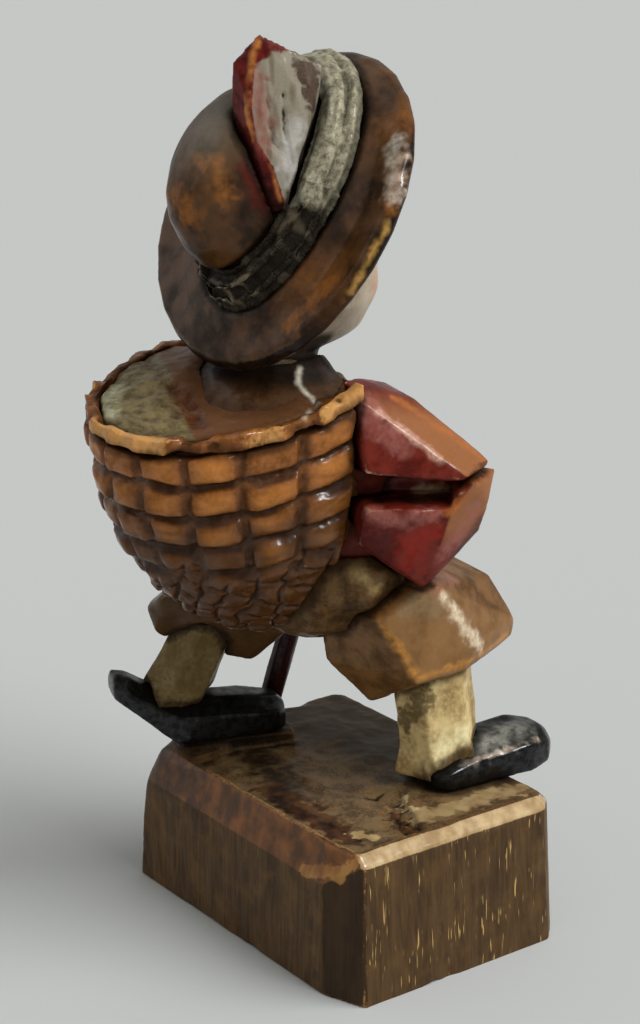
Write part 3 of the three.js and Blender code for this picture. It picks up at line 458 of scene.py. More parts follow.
def weave(points):
    """Column and row of the basket's weave at each point, and the size of a cell there."""
    x, y = basket_plan(points)
    turn = np.clip(1 - np.arctan2(y, x) / math.pi, 0, 1)
    dip = BASKET_DIP * np.sin(math.pi * turn ** DIP_SKEW).clip(0) ** DIP_CURVE
    drop = np.zeros(len(points))
    for _ in range(6):
        low = (RIM - dip * (1 - drop) - points[:, 2]) / BASKET_HEIGHT
        drop = np.clip(np.arctan2(low, np.hypot(x, y)) * 2 / math.pi, 0, 1)
    row = (drop - WEAVE_TOP) / (WEAVE_FOOT - WEAVE_TOP) * WEAVE_ROWS
    wide = math.pi * sum(BASKET_REACH) / 2 / WEAVE_COLUMNS * np.cos(drop * math.pi / 2)
    tall = math.pi / 2 * BASKET_HEIGHT * (WEAVE_FOOT - WEAVE_TOP) / WEAVE_ROWS
    return turn * WEAVE_COLUMNS, row, wide, tall


def spot(points, centre, radius):
    """A soft round mark: 1 at its centre, 0 far away."""
    gap = (points - np.array(centre)) / np.asarray(radius, float)
    return np.exp(-np.einsum("ij,ij->i", gap, gap))


def uneven(wood, seed):
    """The slight unevenness of hand work, in broad and in small lumps."""
    wood.push(0.06 * lumps(wood.co, 3.0, seed) + 0.03 * lumps(wood.co, 1.0, seed + 1))


def shape_base(wood):
    p, n = wood.co, wood.normal
    upright = 1 - ease(np.abs(n[:, 2]), 0.14, 0.26)
    top = ease(n[:, 2], 0.85, 0.96)
    inside = np.minimum(p[:, 0] - BASE_TOP_EDGE[0], BASE_TOP_EDGE[1] - p[:, 1])
    slope = ease(n[:, 2], 0.16, 0.28) * (1 - top)
    wood.mark("basin", top * ease(inside, -0.3, 0.3))
    wood.mark("scuffed", ease(-n[:, 0], 0.8, 0.95))
    # Painted shade on the chamfered near corner
    wood.mark("painted_shade_chamfer", upright * ease(-n[:, 0] * n[:, 1], 0.2, 0.3))
    wood.mark("band", slope * ease(n[:, 1], 0.6, 0.85))
    # Painted highlight on the right bevel and the near corner's bevel
    near = slope * ease(-p[:, 0], 8.0, 12.0)
    bevel = ease(-n[:, 0], 0.4, 0.6) + 0.5 * ease(-n[:, 0] * n[:, 1], 0.25, 0.35)
    wood.mark("gleam", near * bevel)
    # Painted shadow on the far part of the top
    back = 1 - ease(p[:, 1] - 0.3 * p[:, 0], -8.0, 2.0)
    wood.mark("far", top * back * ease(p[:, 0], -6.0, 0.0))
    groove = np.abs(lumps(p, (0.55, 0.55, 9.0), 1))
    fine = lumps(p, (0.9, 0.9, 14.0), 2)
    wood.push(upright * (0.05 * fine - 0.09 * (1 - ease(groove, 0.0, 0.3))))
    chips = wood.stroke(BASE_CHIPS, 1.0) * top
    tool = lumps(p, (3.4, 1.7, 3.0), 5)
    wood.push(top * ease(inside, 0.0, 0.8) * (0.14 * tool + 0.06 * lumps(p, 0.8, 6) - 0.1)
              - chips * (0.35 + 0.35 * lumps(p, 0.7, 7)))
    wood.push(slope * 0.04 * lumps(p, 1.3, 8))
    wood.rub(160, spot(wood.co, BASE_WORN_CORNER, 5.0))
    wood.shave(60, 0.1, 3)
    wood.co[:, 2] = np.maximum(wood.co[:, 2], 0.0)


def shape_basket(wood):
    wood.relax(4)
    p = wood.co
    outside = ease(wood.normal[:, 2], -1.0, -0.98) * ease(np.hypot(*basket_plan(p)), 0.2, 0.35)
    outside = outside * ease(p[:, 1], 6.0, 7.5) * ease(RIM - p[:, 2], 2.0, 4.0)
    wander = np.stack([lumps(p, 3.0, k) * 0.5 for k in (21, 22, 23)], 1)
    column, row, wide, tall = weave(p + wander)
    cell = (np.floor(column) * 7 + np.floor(row) * 13).astype(np.int64)
    chance = SCATTER[cell % len(SCATTER)] / SCATTER_TOP
    beside = np.abs(column - np.round(column)) * wide
    above = np.abs(row - np.round(row)) * tall
    woven = 1 - ease(row + 0.9 * lumps(p, 4.0, 24), 3.4, 4.8)
    pillow = ease(beside, 0.2, 2.4) * ease(above, 0.2, 1.6)
    sunk = np.maximum(1 - ease(above, 0.2, 0.8), 0.6 * (1 - ease(beside, 0.2, 0.8)))
    swirl = p[:, 0] * 0.9 + p[:, 1] * 0.5
    leaf = np.abs(np.sin(swirl * 1.2 + p[:, 2] * 0.7 + 0.9 * lumps(p, 3.5, 1)))
    counter = np.abs(np.sin(swirl * 0.5 - p[:, 2] * 1.1 + 0.9 * lumps(p, 3.0, 2)))
    tangle = np.maximum(0.42 * (1 - ease(leaf, 0.0, 0.6)), 0.3 * (1 - ease(counter, 0.0, 0.5)))
    wood.rub(60, outside * (0.25 + 0.75 * (1 - woven)))
    wood.push(outside * (woven * ((0.5 * chance - 0.05) * pillow - 0.16 * sunk) - (1 - woven) * tangle))
    low = ease(row + 0.5 * lumps(p, 4.0, 24), 0.8, 3.2)
    streak = 0.75 + 0.5 * lumps(p, (2.6, 2.6, 0.5), 25)
    wood.mark("pad", outside * woven * pillow * (1 - 0.6 * low) * streak * (0.1 + 0.9 * chance))
    wood.mark("crease", outside * woven * sunk)
    wood.mark("faded", ease(wood.co[:, 0], 2.0, 14.0))
    # Painted shade: the lower rows and the tangled foot of the basket are darker
    wood.mark("painted_shade", outside * np.maximum(1 - woven, low))
    wood.mark("crease", outside * (1 - woven) * ease(tangle, 0.15, 0.4))
    p = wood.co
    wood.push(0.08 * lumps(p, 1.5, 3) + 0.04 * lumps(p, 0.6, 4))
    wood.shave(120, 0.1, 5, 1.4)
    wood.relax(1)


def shape_rim(wood):
    p = wood.co
    chipped = ease(lumps(p, 2.4, 9), 0.1, 0.5)
    wood.mark("gold", 0.55 + 1.1 * lumps(p, 3.4, 7) - 0.8 * chipped)
    wood.push(0.12 * lumps(p, 1.3, 1) + 0.05 * lumps(p, 0.5, 2) - 0.4 * chipped)
    wood.shave(90, 0.14, 6, 1.5)
    wood.relax(1)


def shape_load(wood):
    p = wood.co
    across = (p[:, 0] - LOAD_SPLIT[0]) * LOAD_ACROSS[0] + (p[:, 1] - LOAD_SPLIT[1]) * LOAD_ACROSS[1]
    left = ease(across, -0.8, 1.6)
    wood.mark("brown", 1 - left)
    wood.push((0.1 + 0.2 * left) * lumps(p, 2.0, 1) + (0.03 + 0.13 * left) * lumps(p, 0.8, 2)
              - 0.5 * wood.stroke(LOAD_CUT, 0.7))
    wood.relax(1)


def shape_brim(wood):
    p, n = wood.co, wood.normal
    edge = ease(-n[:, 0], 0.7, 0.86) * ease(-p[:, 0], 9.0, 12.0)
    # Dark on the brim's outer edge, and painted shade on every face of the brim that turns downwards
    wood.mark("painted_shadow", np.maximum(edge, ease(-n[:, 2], 0.2, 0.4)))
    wood.mark("ember", 0.6 * spot(p, BRIM_EMBER, (5.5, 3.0, 3.4)) + 0.8 * spot(p, BRIM_SPARK, 2.0))
    wood.push(0.1 * lumps(p, 6.0, 1) + 0.03 * lumps(p, 1.6, 2))
    wood.shave(50, 0.08, 8, 2.5)
    wood.rub(8)


def shape_crown(wood):
    p = wood.co
    wood.push(0.12 * lumps(p, 5.0, 3) + 0.03 * lumps(p, 1.6, 4))
    # Painted sheen on the crown's upper left
    wood.mark("dust_and_sheen", spot(p, CROWN_SHEEN, (3.4, 3.4, 4.2)))
    wood.shave(30, 0.12, 9, 3.0)
    wood.rub(10)


def shape_cord(wood):
    q = hat_frame(wood.co)
    x, y = q[:, 0] - CORD_MIDDLE[0], q[:, 1] - CORD_MIDDLE[1]
    out = np.hypot(x, y * CORD_SQUASH)
    along = np.stack([np.arctan2(y, x) * 3.2, out, q[:, 2]], 1)
    fibre = lumps(along, (1.0, 0.55, 0.55), 1)
    wave = lumps(along, (0.8, 1.4, 1.4), 3)
    wood.mark("darkened", 1 - ease(wood.co[:, 2] - 0.5 * wood.co[:, 1] + 1.2 * wave, 76.5, 80.5))
    facing = hat_frame(wood.normal + np.array(HAT_SEAT))
    outward = facing[:, 0] * x + facing[:, 1] * y * CORD_LEAN
    outward = outward / np.maximum(out, 0.1) + facing[:, 2]
    darkened = wood.marks["darkened"]
    thin = darkened * ease(outward, -0.2, 0.8)
    ragged = lumps(wood.co, 1.1, 5)
    wood.mark("fleck", darkened * ease(ragged, 0.3, 0.6))
    wood.push(0.22 * fibre + 0.2 * wave - 0.1 - 0.9 * thin + 0.4 * darkened * ragged
              + 0.05 * lumps(wood.co, 0.6, 2))
    wood.relax(1)


def shape_feather(wood):
    p = wood.co
    rib = np.array(FEATHER_RIB[::-1])
    beyond = (p[:, 1] - np.interp(p[:, 2], rib[:, 2], rib[:, 1])) * -0.8
    beyond -= (p[:, 0] - np.interp(p[:, 2], rib[:, 2], rib[:, 0])) * 0.6
    tip = ease(p[:, 2] - 0.6 * beyond + 0.6 * lumps(p, 1.0, 6), *FEATHER_TIP)
    outer = ease(beyond, 0.1, 0.6) * (1 - tip)
    wood.mark("grey", outer)
    wood.mark("streak", outer * ease(lumps(p, (0.55, 0.55, 3.0), 4), 0.1, 0.6))
    splits = np.maximum(*[wood.stroke(split, 0.22) for split in FEATHER_SPLITS])
    wood.push(-0.22 * splits + outer * 0.16 * lumps(p, (0.7, 0.7, 3.4), 1) + 0.03 * lumps(p, 0.8, 2)
              + 0.12 * wood.stroke(FEATHER_RIB, 0.3))
    wood.shave(16, 0.06, 11, 1.6)
    wood.relax(1)


def shape_head(wood):
    for corner in JAW_CORNERS:
        wood.rub(300, spot(wood.co, corner, (3.6, 3.6, 3.0)))
    p = wood.co
    front = 1 - ease(p[:, 1], FACE_Y + 3.0, FACE_Y + 5.5)
    x, z = p[:, 0] - BODY_X, p[:, 2] - HEAD_Z
    flat = np.stack([np.abs(x), z, np.zeros_like(x)], 1)
    sockets = spot(flat, (EYE_X, 0.5, 0), (1.9, 1.2, 1))
    balls = spot(flat, (EYE_X, 0.3, 0), (1.15, 0.75, 1))
    brows = spot(flat, (EYE_X, 2.3, 0), (2.2, 0.6, 1))
    cheeks = spot(flat, (4.5, -3.4, 0), (1.9, 1.7, 1))
    lips = spot(flat, (0, -4.5, 0), (2.1, 0.4, 1)) + spot(flat, (0, -5.5, 0), (1.7, 0.45, 1))
    mouth = spot(flat, (0, -5.0, 0), (2.3, 0.22, 1))
    chin = spot(flat, (0, -7.6, 0), (1.9, 1.0, 1))
    wood.push(front * (0.3 * brows - 0.62 * sockets + 0.5 * balls + 0.4 * cheeks + 0.34 * lips - 0.4 * mouth
                       + 0.35 * chin))
    wood.rub(1)
    front = 1 - ease(wood.co[:, 1], FACE_Y + 3.0, FACE_Y + 4.6)
    side = np.abs(x)
    eye = np.hypot((side - EYE_X) / 1.25, (z - 0.35) / 0.68)
    iris = np.hypot((side - 2.95) / 0.62, (z - 0.38) / 0.62)
    lid = np.abs(z - 1.02 + 0.2 * (side - EYE_X) ** 2)
    brow = np.abs(z - 2.35 + 0.13 * (side - 2.9) ** 2)
    lid_line = (1 - ease(np.abs(side - EYE_X), 1.1, 1.5)) * (1 - ease(lid, 0.1, 0.28))
    brow_line = (1 - ease(np.abs(side - EYE_X), 1.5, 2.1)) * (1 - ease(brow, 0.2, 0.42))
    wood.mark("eye_white", front * (1 - ease(eye, 0.82, 1.05)))
    wood.mark("iris", front * (1 - ease(iris, 0.8, 1.05)))
    wood.mark("line", front * np.maximum(lid_line, brow_line))
    wood.mark("lips", front * (1 - ease(np.hypot(x / 2.2, (z + 5.0) / 0.85), 0.6, 1.05)))
    wood.mark("blush", front * cheeks)
    # Painted shadow of the brim: dark on the nape, lighter over the back of the head
    nape = ease(wood.co[:, 1], *NAPE_Y) * (1 - ease(wood.co[:, 2], *NAPE_Z))
    wood.mark("painted_shadow", np.maximum(0.95 * nape, 0.4 * ease(wood.co[:, 1], -3.0, 3.0)))


def shape_hair(wood):
    p = wood.co
    turn = np.arctan2(p[:, 1] - 4.0, p[:, 0] - BODY_X)
    locks = np.sin(turn * 22 + p[:, 2] * 0.35 + 1.1 * lumps(p, 2.5, 1))
    wood.push(-0.2 * ease(locks, 0.1, 0.95) + 0.06 * lumps(p, 0.9, 2))
    wood.relax(1)


def shape_hand(wood):
    p = wood.co
    along = (p - np.array(FIST)) @ np.array(STAFF_LEAN)
    fingers = np.abs(((along + FIRST_FINGER) / FINGER_WIDTH) % 1 - 0.5)
    ahead = ease(-(p[:, 1] - FIST.y), -1.2, 0.4)
    wood.push(-0.32 * ahead * (1 - ease(0.5 - fingers, 0.03, 0.2)))
    wood.rub(1)


def shape_jacket(wood):
    p = wood.co
    front = ease(-p[:, 1], 2.0, 4.0)
    x = np.abs(p[:, 0] - BODY_X)
    fall = np.abs(x - 0.35 - 0.16 * np.clip(p[:, 2] - JACKET_OPENING, 0, 20))
    lapel = np.abs(x - 3.4 - 0.1 * np.clip(p[:, 2] - LAPEL_FOOT, 0, 20)) + 3 * (p[:, 2] < LAPEL_FOOT)
    hem = np.abs(p[:, 2] - JACKET_HEM)
    cuts = 1 - ease(np.minimum(fall, lapel), 0.1, 0.4)
    wood.push(-0.22 * front * cuts - 0.1 * (1 - ease(hem, 0.1, 0.35)))
    uneven(wood, 1)
    wood.shave(60, 0.12, 12)
    wood.relax(1)


def shape_vest(wood):
    # Painted shadow of the hat over the top of the neck
    wood.mark("painted_shadow", ease(wood.co[:, 2], *NECK_SHADOW))
    wood.rub(40)
    shape_cloth(60, 0.12, 31)(wood)
    wood.push(VEST_FLARE * (1 - ease(wood.co[:, 2], *FLARE_END)))


def shape_cloth(cuts, depth, seed, soft=6):
    """Plain knife work: flat facets, knocked and softened edges and slight unevenness."""
    def work(wood):
        wood.shave(cuts, depth, seed)
        wood.rub(soft)
        uneven(wood, seed)
    return work


def shape_sleeve(cuts, depth, seed):
    """Red sleeve: the facets that face up or outwards are rubbed to a tan."""
    def work(wood):
        p, n = wood.co, wood.normal
        outward = ease(0.2 - n[:, 1], 0.0, 0.2) * ease(np.abs(n[:, 0]), 0.7, 0.85)
        upward = ease(n[:, 2], 0.5, 0.66) * ease(p[:, 2], *SHOULDER_Z)
        upward = upward * ease(np.abs(p[:, 0] - BODY_X), *SHOULDER_REACH)
        wood.mark("rubbed", np.maximum(upward, outward * ease(p[:, 2], *SLEEVE_FOOT)))
        wood.rub(40, spot(p, ELBOW, 2.2))
        shape_cloth(cuts, depth, seed, 8)(wood)
    return work


def shape_breeches(cuts, depth, seed):
    """Knee breeches: the outer facet is rubbed pale, and the left leg is darkened as painted shade."""
    def work(wood):
        wood.mark("painted_shade", ease(wood.co[:, 0], 4.0, 8.0))
        wood.mark("rubbed", 0.7 * ease(-wood.normal[:, 0], 0.8, 0.95))
        shape_cloth(cuts, depth, seed, 12)(wood)
    return work


def shape_stocking(wood):
    p = wood.co
    # Painted shade on the left stocking
    wood.mark("painted_shade", ease(p[:, 0], 6.0, 8.0))
    wood.push(0.07 * lumps(p, 2.2, 4) + 0.05 * lumps(p, 0.9, 5))
    wood.shave(30, 0.12, 14, 2.4)
    wood.relax(1)


def shape_staff(wood):
    p = wood.co
    wood.push(0.06 * lumps(p, (1.2, 1.2, 4.0), 3))
    wood.relax(1)


# Spots and cuts, in millimetres
# Middle of the painted sheen on the crown
CROWN_SHEEN = (1.2, 16.4, 91.4)
BRIM_EMBER = (-9.5, 11.6, 76.8)
BRIM_SPARK = (-11.0, 2.2, 92.0)
ELBOW = (-17.4, -5.6, 55.4)
JAW_CORNERS = [(-0.9, -1.0, 68.6), (6.9, -1.0, 68.6)]
BASE_WORN_CORNER = (19.0, 13.0, 17.0)
BASE_CHIPS = [(-7.0, 1.0, 17.0), (-9.5, 0.8, 17.0), (-12.5, 2.6, 16.6), (-17.0, 3.6, 16.6)]
LOAD_CUT = [(6.1, 18.2, 63.5), (3.0, 18.8, 62.4), (-1.2, 20.3, 61.4)]
FEATHER_RIB = [
    (-3.0, 13.6, 100.0), (-2.9, 14.2, 98.4), (-3.3, 14.9, 93.4),
    (-3.9, 14.7, 90.5), (-5.1, 13.5, 87.8), (-5.6, 12.6, 84.4),
]
FEATHER_SPLITS = [
    [(-3.9, 13.1, 96.4), (-4.6, 13.4, 92.5), (-5.3, 12.9, 89.3)],
    [(-4.7, 11.6, 94.9), (-5.3, 11.9, 91.5), (-6.1, 11.5, 88.2)],
]

# Strokes of worn and spilt paint, and of painted shade, shadow, highlight and sheen: mark, points and width
# in millimetres
PALE_DRIP = ("drip", [(-3.0, 8.4, 66.0), (-4.2, 9.4, 64.6), (-7.1, 9.0, 63.0), (-9.4, 12.4, 62.5)], 0.28)
STROKES = {
    "base_block": [
        ("stain", [(-1.0, 10.4, 16.0), (-9.0, 10.1, 15.9), (-14.5, 9.4, 15.9)], 0.9),
        ("stain", BASE_CHIPS, 0.6),
        ("amber", [(2.0, 9.4, 16.3), (-5.0, 9.2, 16.0), (-11.0, 9.2, 16.0)], 1.6),
        ("plank", [(-15.6, 1.6, 17.1), (-16.3, -12.0, 17.1)], 1.5),
        ("rust", [(-12.0, 14.6, 13.2), (-17.1, 14.0, 14.4), (-19.0, 12.8, 16.2)], 0.7),
        # Painted shadow on the top, beside and under the left shoe
        ("far", [(12.0, 4.6, 16.6), (3.0, 7.0, 16.3), (-1.5, 9.4, 16.2)], 2.2),
        ("far", [(10.1, -0.2, 17.2), (12.5, 6.0, 16.8), (12.9, 11.6, 16.8)], 1.2),
        ("pale", [(-13.2, 8.6, 16.1), (-15.2, 7.4, 16.1)], 0.7),
        ("pale", [(-10.0, -0.8, 16.7), (-11.8, 0.8, 16.7), (-13.6, 0.6, 16.7)], 0.5),
        # Painted shade at the far end of the back bevel
        ("painted_shadow", [(19.0, 13.0, 15.2), (11.0, 14.0, 14.4)], 2.4),
    ],
    "right_stocking": [
        ("cream", [(-11.2, -4.6, 22.0), (-11.7, -6.2, 22.6), (-12.1, -8.0, 23.2)], 1.1),
        # Painted shade on the upper inner side of the right stocking
        ("painted_shade", [(-8.2, -2.3, 25.2), (-9.8, -2.6, 27.2), (-10.6, -3.0, 28.4)], 1.2),
    ],
    "right_shoe": [
        # Painted highlight along the top edge of the shoe, and painted sheen over the toe
        ("painted_highlight", [(-12.6, -6.5, 20.2), (-13.1, -10.7, 20.4), (-13.5, -17.4, 20.7)], 0.25),
        ("dust_and_sheen", [(-12.0, -8.0, 21.2), (-11.6, -16.0, 21.6)], 1.1),
    ],
    "right_breeches_leg": [
        ("gold", [(-10.2, 3.0, 38.5), (-11.6, 1.3, 35.3), (-12.3, 0.0, 32.6)], 0.45),
        ("gold", [(-12.6, -0.5, 31.9), (-13.2, -6.9, 32.6), (-12.0, -11.1, 32.8),
                  (-10.6, -14.8, 33.2)], 0.4),
        # Painted highlight down the front of the breeches
        ("painted_highlight", [(-13.0, -3.6, 40.8), (-13.3, -5.3, 38.4), (-13.4, -7.0, 35.9),
                   (-12.9, -9.0, 33.8)], 0.6),
        # A pale smear near the top of the breeches
        ("dust_and_sheen", [(-12.0, -0.1, 40.1), (-12.5, -1.4, 40.8), (-12.9, -2.4, 39.6)], 1.1),
        ("rosy", [(-13.0, -2.5, 41.6), (-10.4, -6.7, 41.6)], 0.7),
    ],
    "breeches_seat": [
        # Painted shadow under the jacket's hem
        ("painted_shadow", [(-5.6, 6.3, 38.1), (-8.5, 4.4, 40.2)], 0.9),
        ("straw", [(-7.7, 4.6, 44.6), (-8.5, 4.4, 43.6), (-9.3, 3.0, 42.2)], 0.7),
    ],
    "right_upper_sleeve": [
        ("rosy", [(-10.8, 5.7, 63.2), (-12.3, 4.3, 60.9), (-13.6, 3.2, 59.6)], 1.4),
        # Painted highlight along the sleeve's ridge
        ("painted_highlight", [(-11.6, 4.6, 62.4), (-12.6, 3.0, 61.2), (-14.2, 1.6, 59.4), (-15.8, -0.2, 57.4)], 0.4),
        ("rust", [(-9.7, 1.0, 62.9), (-11.2, -0.8, 61.4), (-14.5, -4.7, 58.0), (-16.5, -6.3, 56.1)], 0.5),
    ],
    "right_fore_sleeve": [
        ("rosy", [(-12.6, 6.2, 52.1), (-13.4, 4.7, 51.3), (-14.2, 3.0, 51.0), (-15.6, 0.0, 51.4)], 0.8),
        ("rosy", [(-14.6, -2.7, 46.9), (-15.4, -4.2, 49.0), (-16.3, -4.6, 51.3)], 0.9),
        ("deep", [(-12.2, 5.7, 48.9), (-11.8, 4.3, 46.5)], 2.0),
        ("deep", [(-15.5, -6.3, 49.6), (-14.0, -4.6, 46.0)], 0.8),
        ("bright", [(-13.0, 1.2, 45.8), (-13.8, 1.6, 48.2), (-15.0, 0.0, 49.6)], 1.2),
        ("rust", [(-17.2, -3.6, 54.6), (-16.7, -2.2, 53.0), (-16.3, -1.2, 51.6)], 0.5),
        ("raw", [(-10.6, -1.6, 52.5), (-12.2, -5.2, 52.3)], 0.5),
        # Painted shade in the slit between the arm and the body
        ("painted_shadow", [(-10.6, 3.3, 52.4), (-12.1, 0.6, 52.3), (-13.4, -2.6, 52.2)], 1.0),
    ],
    "hat_brim": [
        ("shade", [(-9.8, 7.2, 86.0), (-9.6, 9.2, 82.2), (-8.4, 11.0, 78.6), (-5.4, 12.3, 75.7),
                   (-2.4, 14.3, 72.9)], 1.6),
        ("ember", [(-12.5, 11.1, 77.0), (-10.4, 12.5, 74.5), (-8.9, 13.4, 72.6)], 1.0),
        ("gold", [(-15.0, 10.8, 76.4), (-15.8, 9.7, 78.9), (-16.2, 8.4, 81.2), (-16.3, 7.2, 83.2)], 0.3),
        ("ember", [(-16.0, 6.9, 84.6), (-15.4, 5.6, 86.9), (-14.0, 4.4, 88.8)], 0.9),
        # Painted highlight on the brim's upper outer edge
        ("painted_highlight", [(-12.6, 3.6, 90.0), (-14.2, 4.6, 88.4), (-15.8, 6.0, 85.6)], 0.8),
    ],
    "hat_crown": [
        ("shade", [(-3.8, 15.6, 86.6), (-4.2, 15.2, 84.1), (-3.6, 15.6, 81.6)], 1.3),
        ("ember", [(4.0, 19.9, 84.4), (1.4, 20.2, 84.3), (0.3, 19.7, 82.9)], 1.1),
        ("ember", [(0.2, 18.4, 88.4), (-1.5, 17.8, 88.0), (-2.9, 17.5, 85.1)], 0.9),
        ("red", [(-3.6, 15.0, 87.6), (-4.8, 13.6, 84.0)], 0.9),
    ],
    "hat_feather": [
        ("ridge", FEATHER_RIB[:4], 0.3),
        ("ridge", FEATHER_RIB[3:], 0.18),
        ("pink", [(-3.6, 13.6, 96.6), (-4.2, 14.0, 92.8), (-4.6, 14.2, 89.8)], 0.9),
        # Painted sheen on the feather's outer face
        ("painted_sheen", [(-5.9, 10.4, 91.4), (-5.7, 11.5, 90.0), (-6.0, 11.6, 87.0)], 1.0),
        ("wedge", [(-4.4, 8.9, 97.6), (-5.1, 8.3, 95.7), (-5.4, 8.8, 94.0)], 1.0),
    ],
    "vest_back": [PALE_DRIP],
    "basket_shell": [PALE_DRIP],
    "basket_rim": [PALE_DRIP],
    "basket_load": [
        PALE_DRIP,
        ("smear", [(12.0, 22.0, 63.0), (9.4, 25.2, 62.1), (6.8, 26.0, 61.6)], 1.0),
        ("rust", LOAD_CUT, 1.1),
    ],
}


# Finishes, with tones as a paint card gives them

BARE_GOLD = ((150, 100, 48), (190, 140, 84))
BARE_PINK = ((150, 96, 74), (196, 150, 124))
BARE_DARK = ((88, 60, 33), (132, 90, 48))
# The pale tone of painted highlights
HIGHLIGHT_TONE = (206, 184, 160)
# Black for painted shade and shadow; on the shoes also the tone of stain and painted shade in the creases
SHADOW_BLACK = (14, 9, 6)
UMBER = (30, 18, 10)
DRIP = (226, 218, 196)

# Touches on the base in the order of painting: mark, raggedness, share and its two tones
BASE_TOUCHES = [
    # gleam is a painted highlight on the right bevel
    ("gleam", 0.5, 0.85, (168, 136, 90), (216, 188, 140)),
    ("rust", 0.5, 0.7, (150, 94, 44), (196, 144, 82)),
    ("amber", 0.6, 0.8, (26, 15, 7), (96, 58, 26)),
    ("plank", 0.4, 0.85, (140, 115, 78), (176, 152, 108)),
    ("stain", 0.6, 0.9, (24, 13, 6), (84, 46, 22)),
    ("pale", 0.8, 0.9, (168, 138, 88), (204, 180, 132)),
]


def base_finish():
    """Stained block: upright grain with pale scratches on the sides and a stained scoop on the top, with
    painted shade on the far top, the chamfered corner and the back bevel's far end, and a painted highlight
    on the right bevel.
    """
    f = Finish("stained_block")
    grain = f.noise(0.34, 4.0, 1, 0.6, stretch=(1, 1, 16))
    streak = f.noise(1.5, 3.0, 2, stretch=(1, 1, 7))
    fine = f.noise(0.3, 3.0, 3)
    coarse = f.noise(2.6, 4.0, 4)
    chip = f.noise(0.6, 5.0, 5, CHIP_ROUGH)
    scratch = f.noise(0.26, 1.0, 6, stretch=(1, 1, 15))
    bunch = f.noise(4.0, 2.0, 7, stretch=(1, 1, 1.6))
    blotch = f.noise(1.2, 4.0, 8, stretch=(2.2, 1, 1))

    def part(name, crisp):
        """A mark with a ragged edge."""
        return f.step(f.read(name) + (chip - 0.5) * crisp, 0.32, 0.68)

    side = f.mix(f.step(grain * 0.5 + streak * 0.5, 0.34, 0.64), (66, 48, 29), (100, 75, 46))
    side = f.mix(f.step(coarse, 0.46, 0.7) * 0.5, side, (116, 86, 50))
    dash = f.step(scratch, 0.63, 0.7) * f.step(bunch, 0.46, 0.6)
    side = f.mix(f.read("scuffed") * 0.4, side, (58, 42, 25))
    colour = f.mix(dash * f.read("scuffed"), side, (190, 156, 96))
    # Painted shade on the chamfered corner
    colour = f.mix(part("painted_shade_chamfer", 0.5) * 0.75, colour, f.mix(streak, (28, 18, 10), (54, 37, 22)))
    top = f.mix(f.step(coarse * 0.6 + fine * 0.4, 0.38, 0.6), (76, 58, 37), (124, 100, 68))
    top = f.mix(f.step(blotch, 0.52, 0.68) * 0.35, top, (128, 90, 50))
    # Painted shadow on the far part of the top
    top = f.mix(f.read("far") * 0.9, top, (33, 25, 17))
    colour = f.mix(part("basin", 0.4), colour, top)
    smooth = f.step(coarse * 0.6 + streak * 0.4, 0.36, 0.64)
    colour = f.mix(part("band", 0.3) * 0.95, colour, f.mix(smooth, (84, 54, 29), (142, 88, 42)))
    # Painted shade at the far end of the back bevel
    colour = f.mix(f.read("painted_shadow") * 0.65, colour, (40, 27, 16))
    for name, crisp, share, low_tone, high_tone in BASE_TOUCHES:
        colour = f.mix(part(name, crisp) * share, colour, f.mix(smooth, low_tone, high_tone))
    bare = f.mix(f.step(fine, 0.4, 0.62), (132, 94, 54), (178, 136, 86))
    # No worn edges show in the painted shadow on the far part of the top
    worn = f.worn(chip, 0.5, 0.86) * (1 - 0.8 * f.read("far"))
    colour = f.mix(worn * 0.8, colour, bare)
    darkened = f.darkened(fine, 0.25)
    colour = f.mix(darkened * 0.85, colour, (20, 13, 8))
    rough = 0.46 + (fine - 0.5) * 0.35 + darkened * 0.15
    coat = 0.1 + 0.3 * f.read("band") + 0.6 * f.read("gleam")
    return f.close(colour, rough, coat, grain * 0.7 + fine * 0.3 + chip * 0.3, 0.5)


def face_finish():
    """Painted skin with plain painted features, and painted shadow of the brim on the nape and the back of
    the head.
    """
    f = Finish("painted_skin")
    coarse = f.noise(2.0, 3.0, 1)
    fine = f.noise(0.35, 3.0, 2)
    chip = f.noise(0.6, 5.0, 3, CHIP_ROUGH)
    mottled = f.step(coarse * 0.7 + fine * 0.3, 0.38, 0.62)
    colour = f.mix(mottled, (182, 164, 140), (204, 188, 164))
    colour = f.mix(f.read("blush") * 0.5, colour, (204, 130, 104))
    colour = f.mix(f.step(f.read("lips"), 0.3, 0.7) * 0.8, colour, (150, 62, 50))
    colour = f.mix(f.step(f.read("eye_white"), 0.4, 0.6), colour, (222, 212, 190))
    colour = f.mix(f.step(f.read("iris"), 0.4, 0.6), colour, (44, 30, 22))
    colour = f.mix(f.step(f.read("line"), 0.4, 0.7) * 0.9, colour, (58, 36, 22))
    colour = f.mix(f.worn(chip, 0.5, 0.85) * 0.5, colour, (176, 122, 78))
    colour = f.mix(f.darkened(fine, 0.25) * 0.75, colour, (70, 42, 26))
    colour = f.mix(f.read("painted_shadow"), colour, (24, 16, 10))
    return f.close(colour, 0.46 + (fine - 0.5) * 0.3, 0.15, fine * 0.5 + chip * 0.4, 0.4)
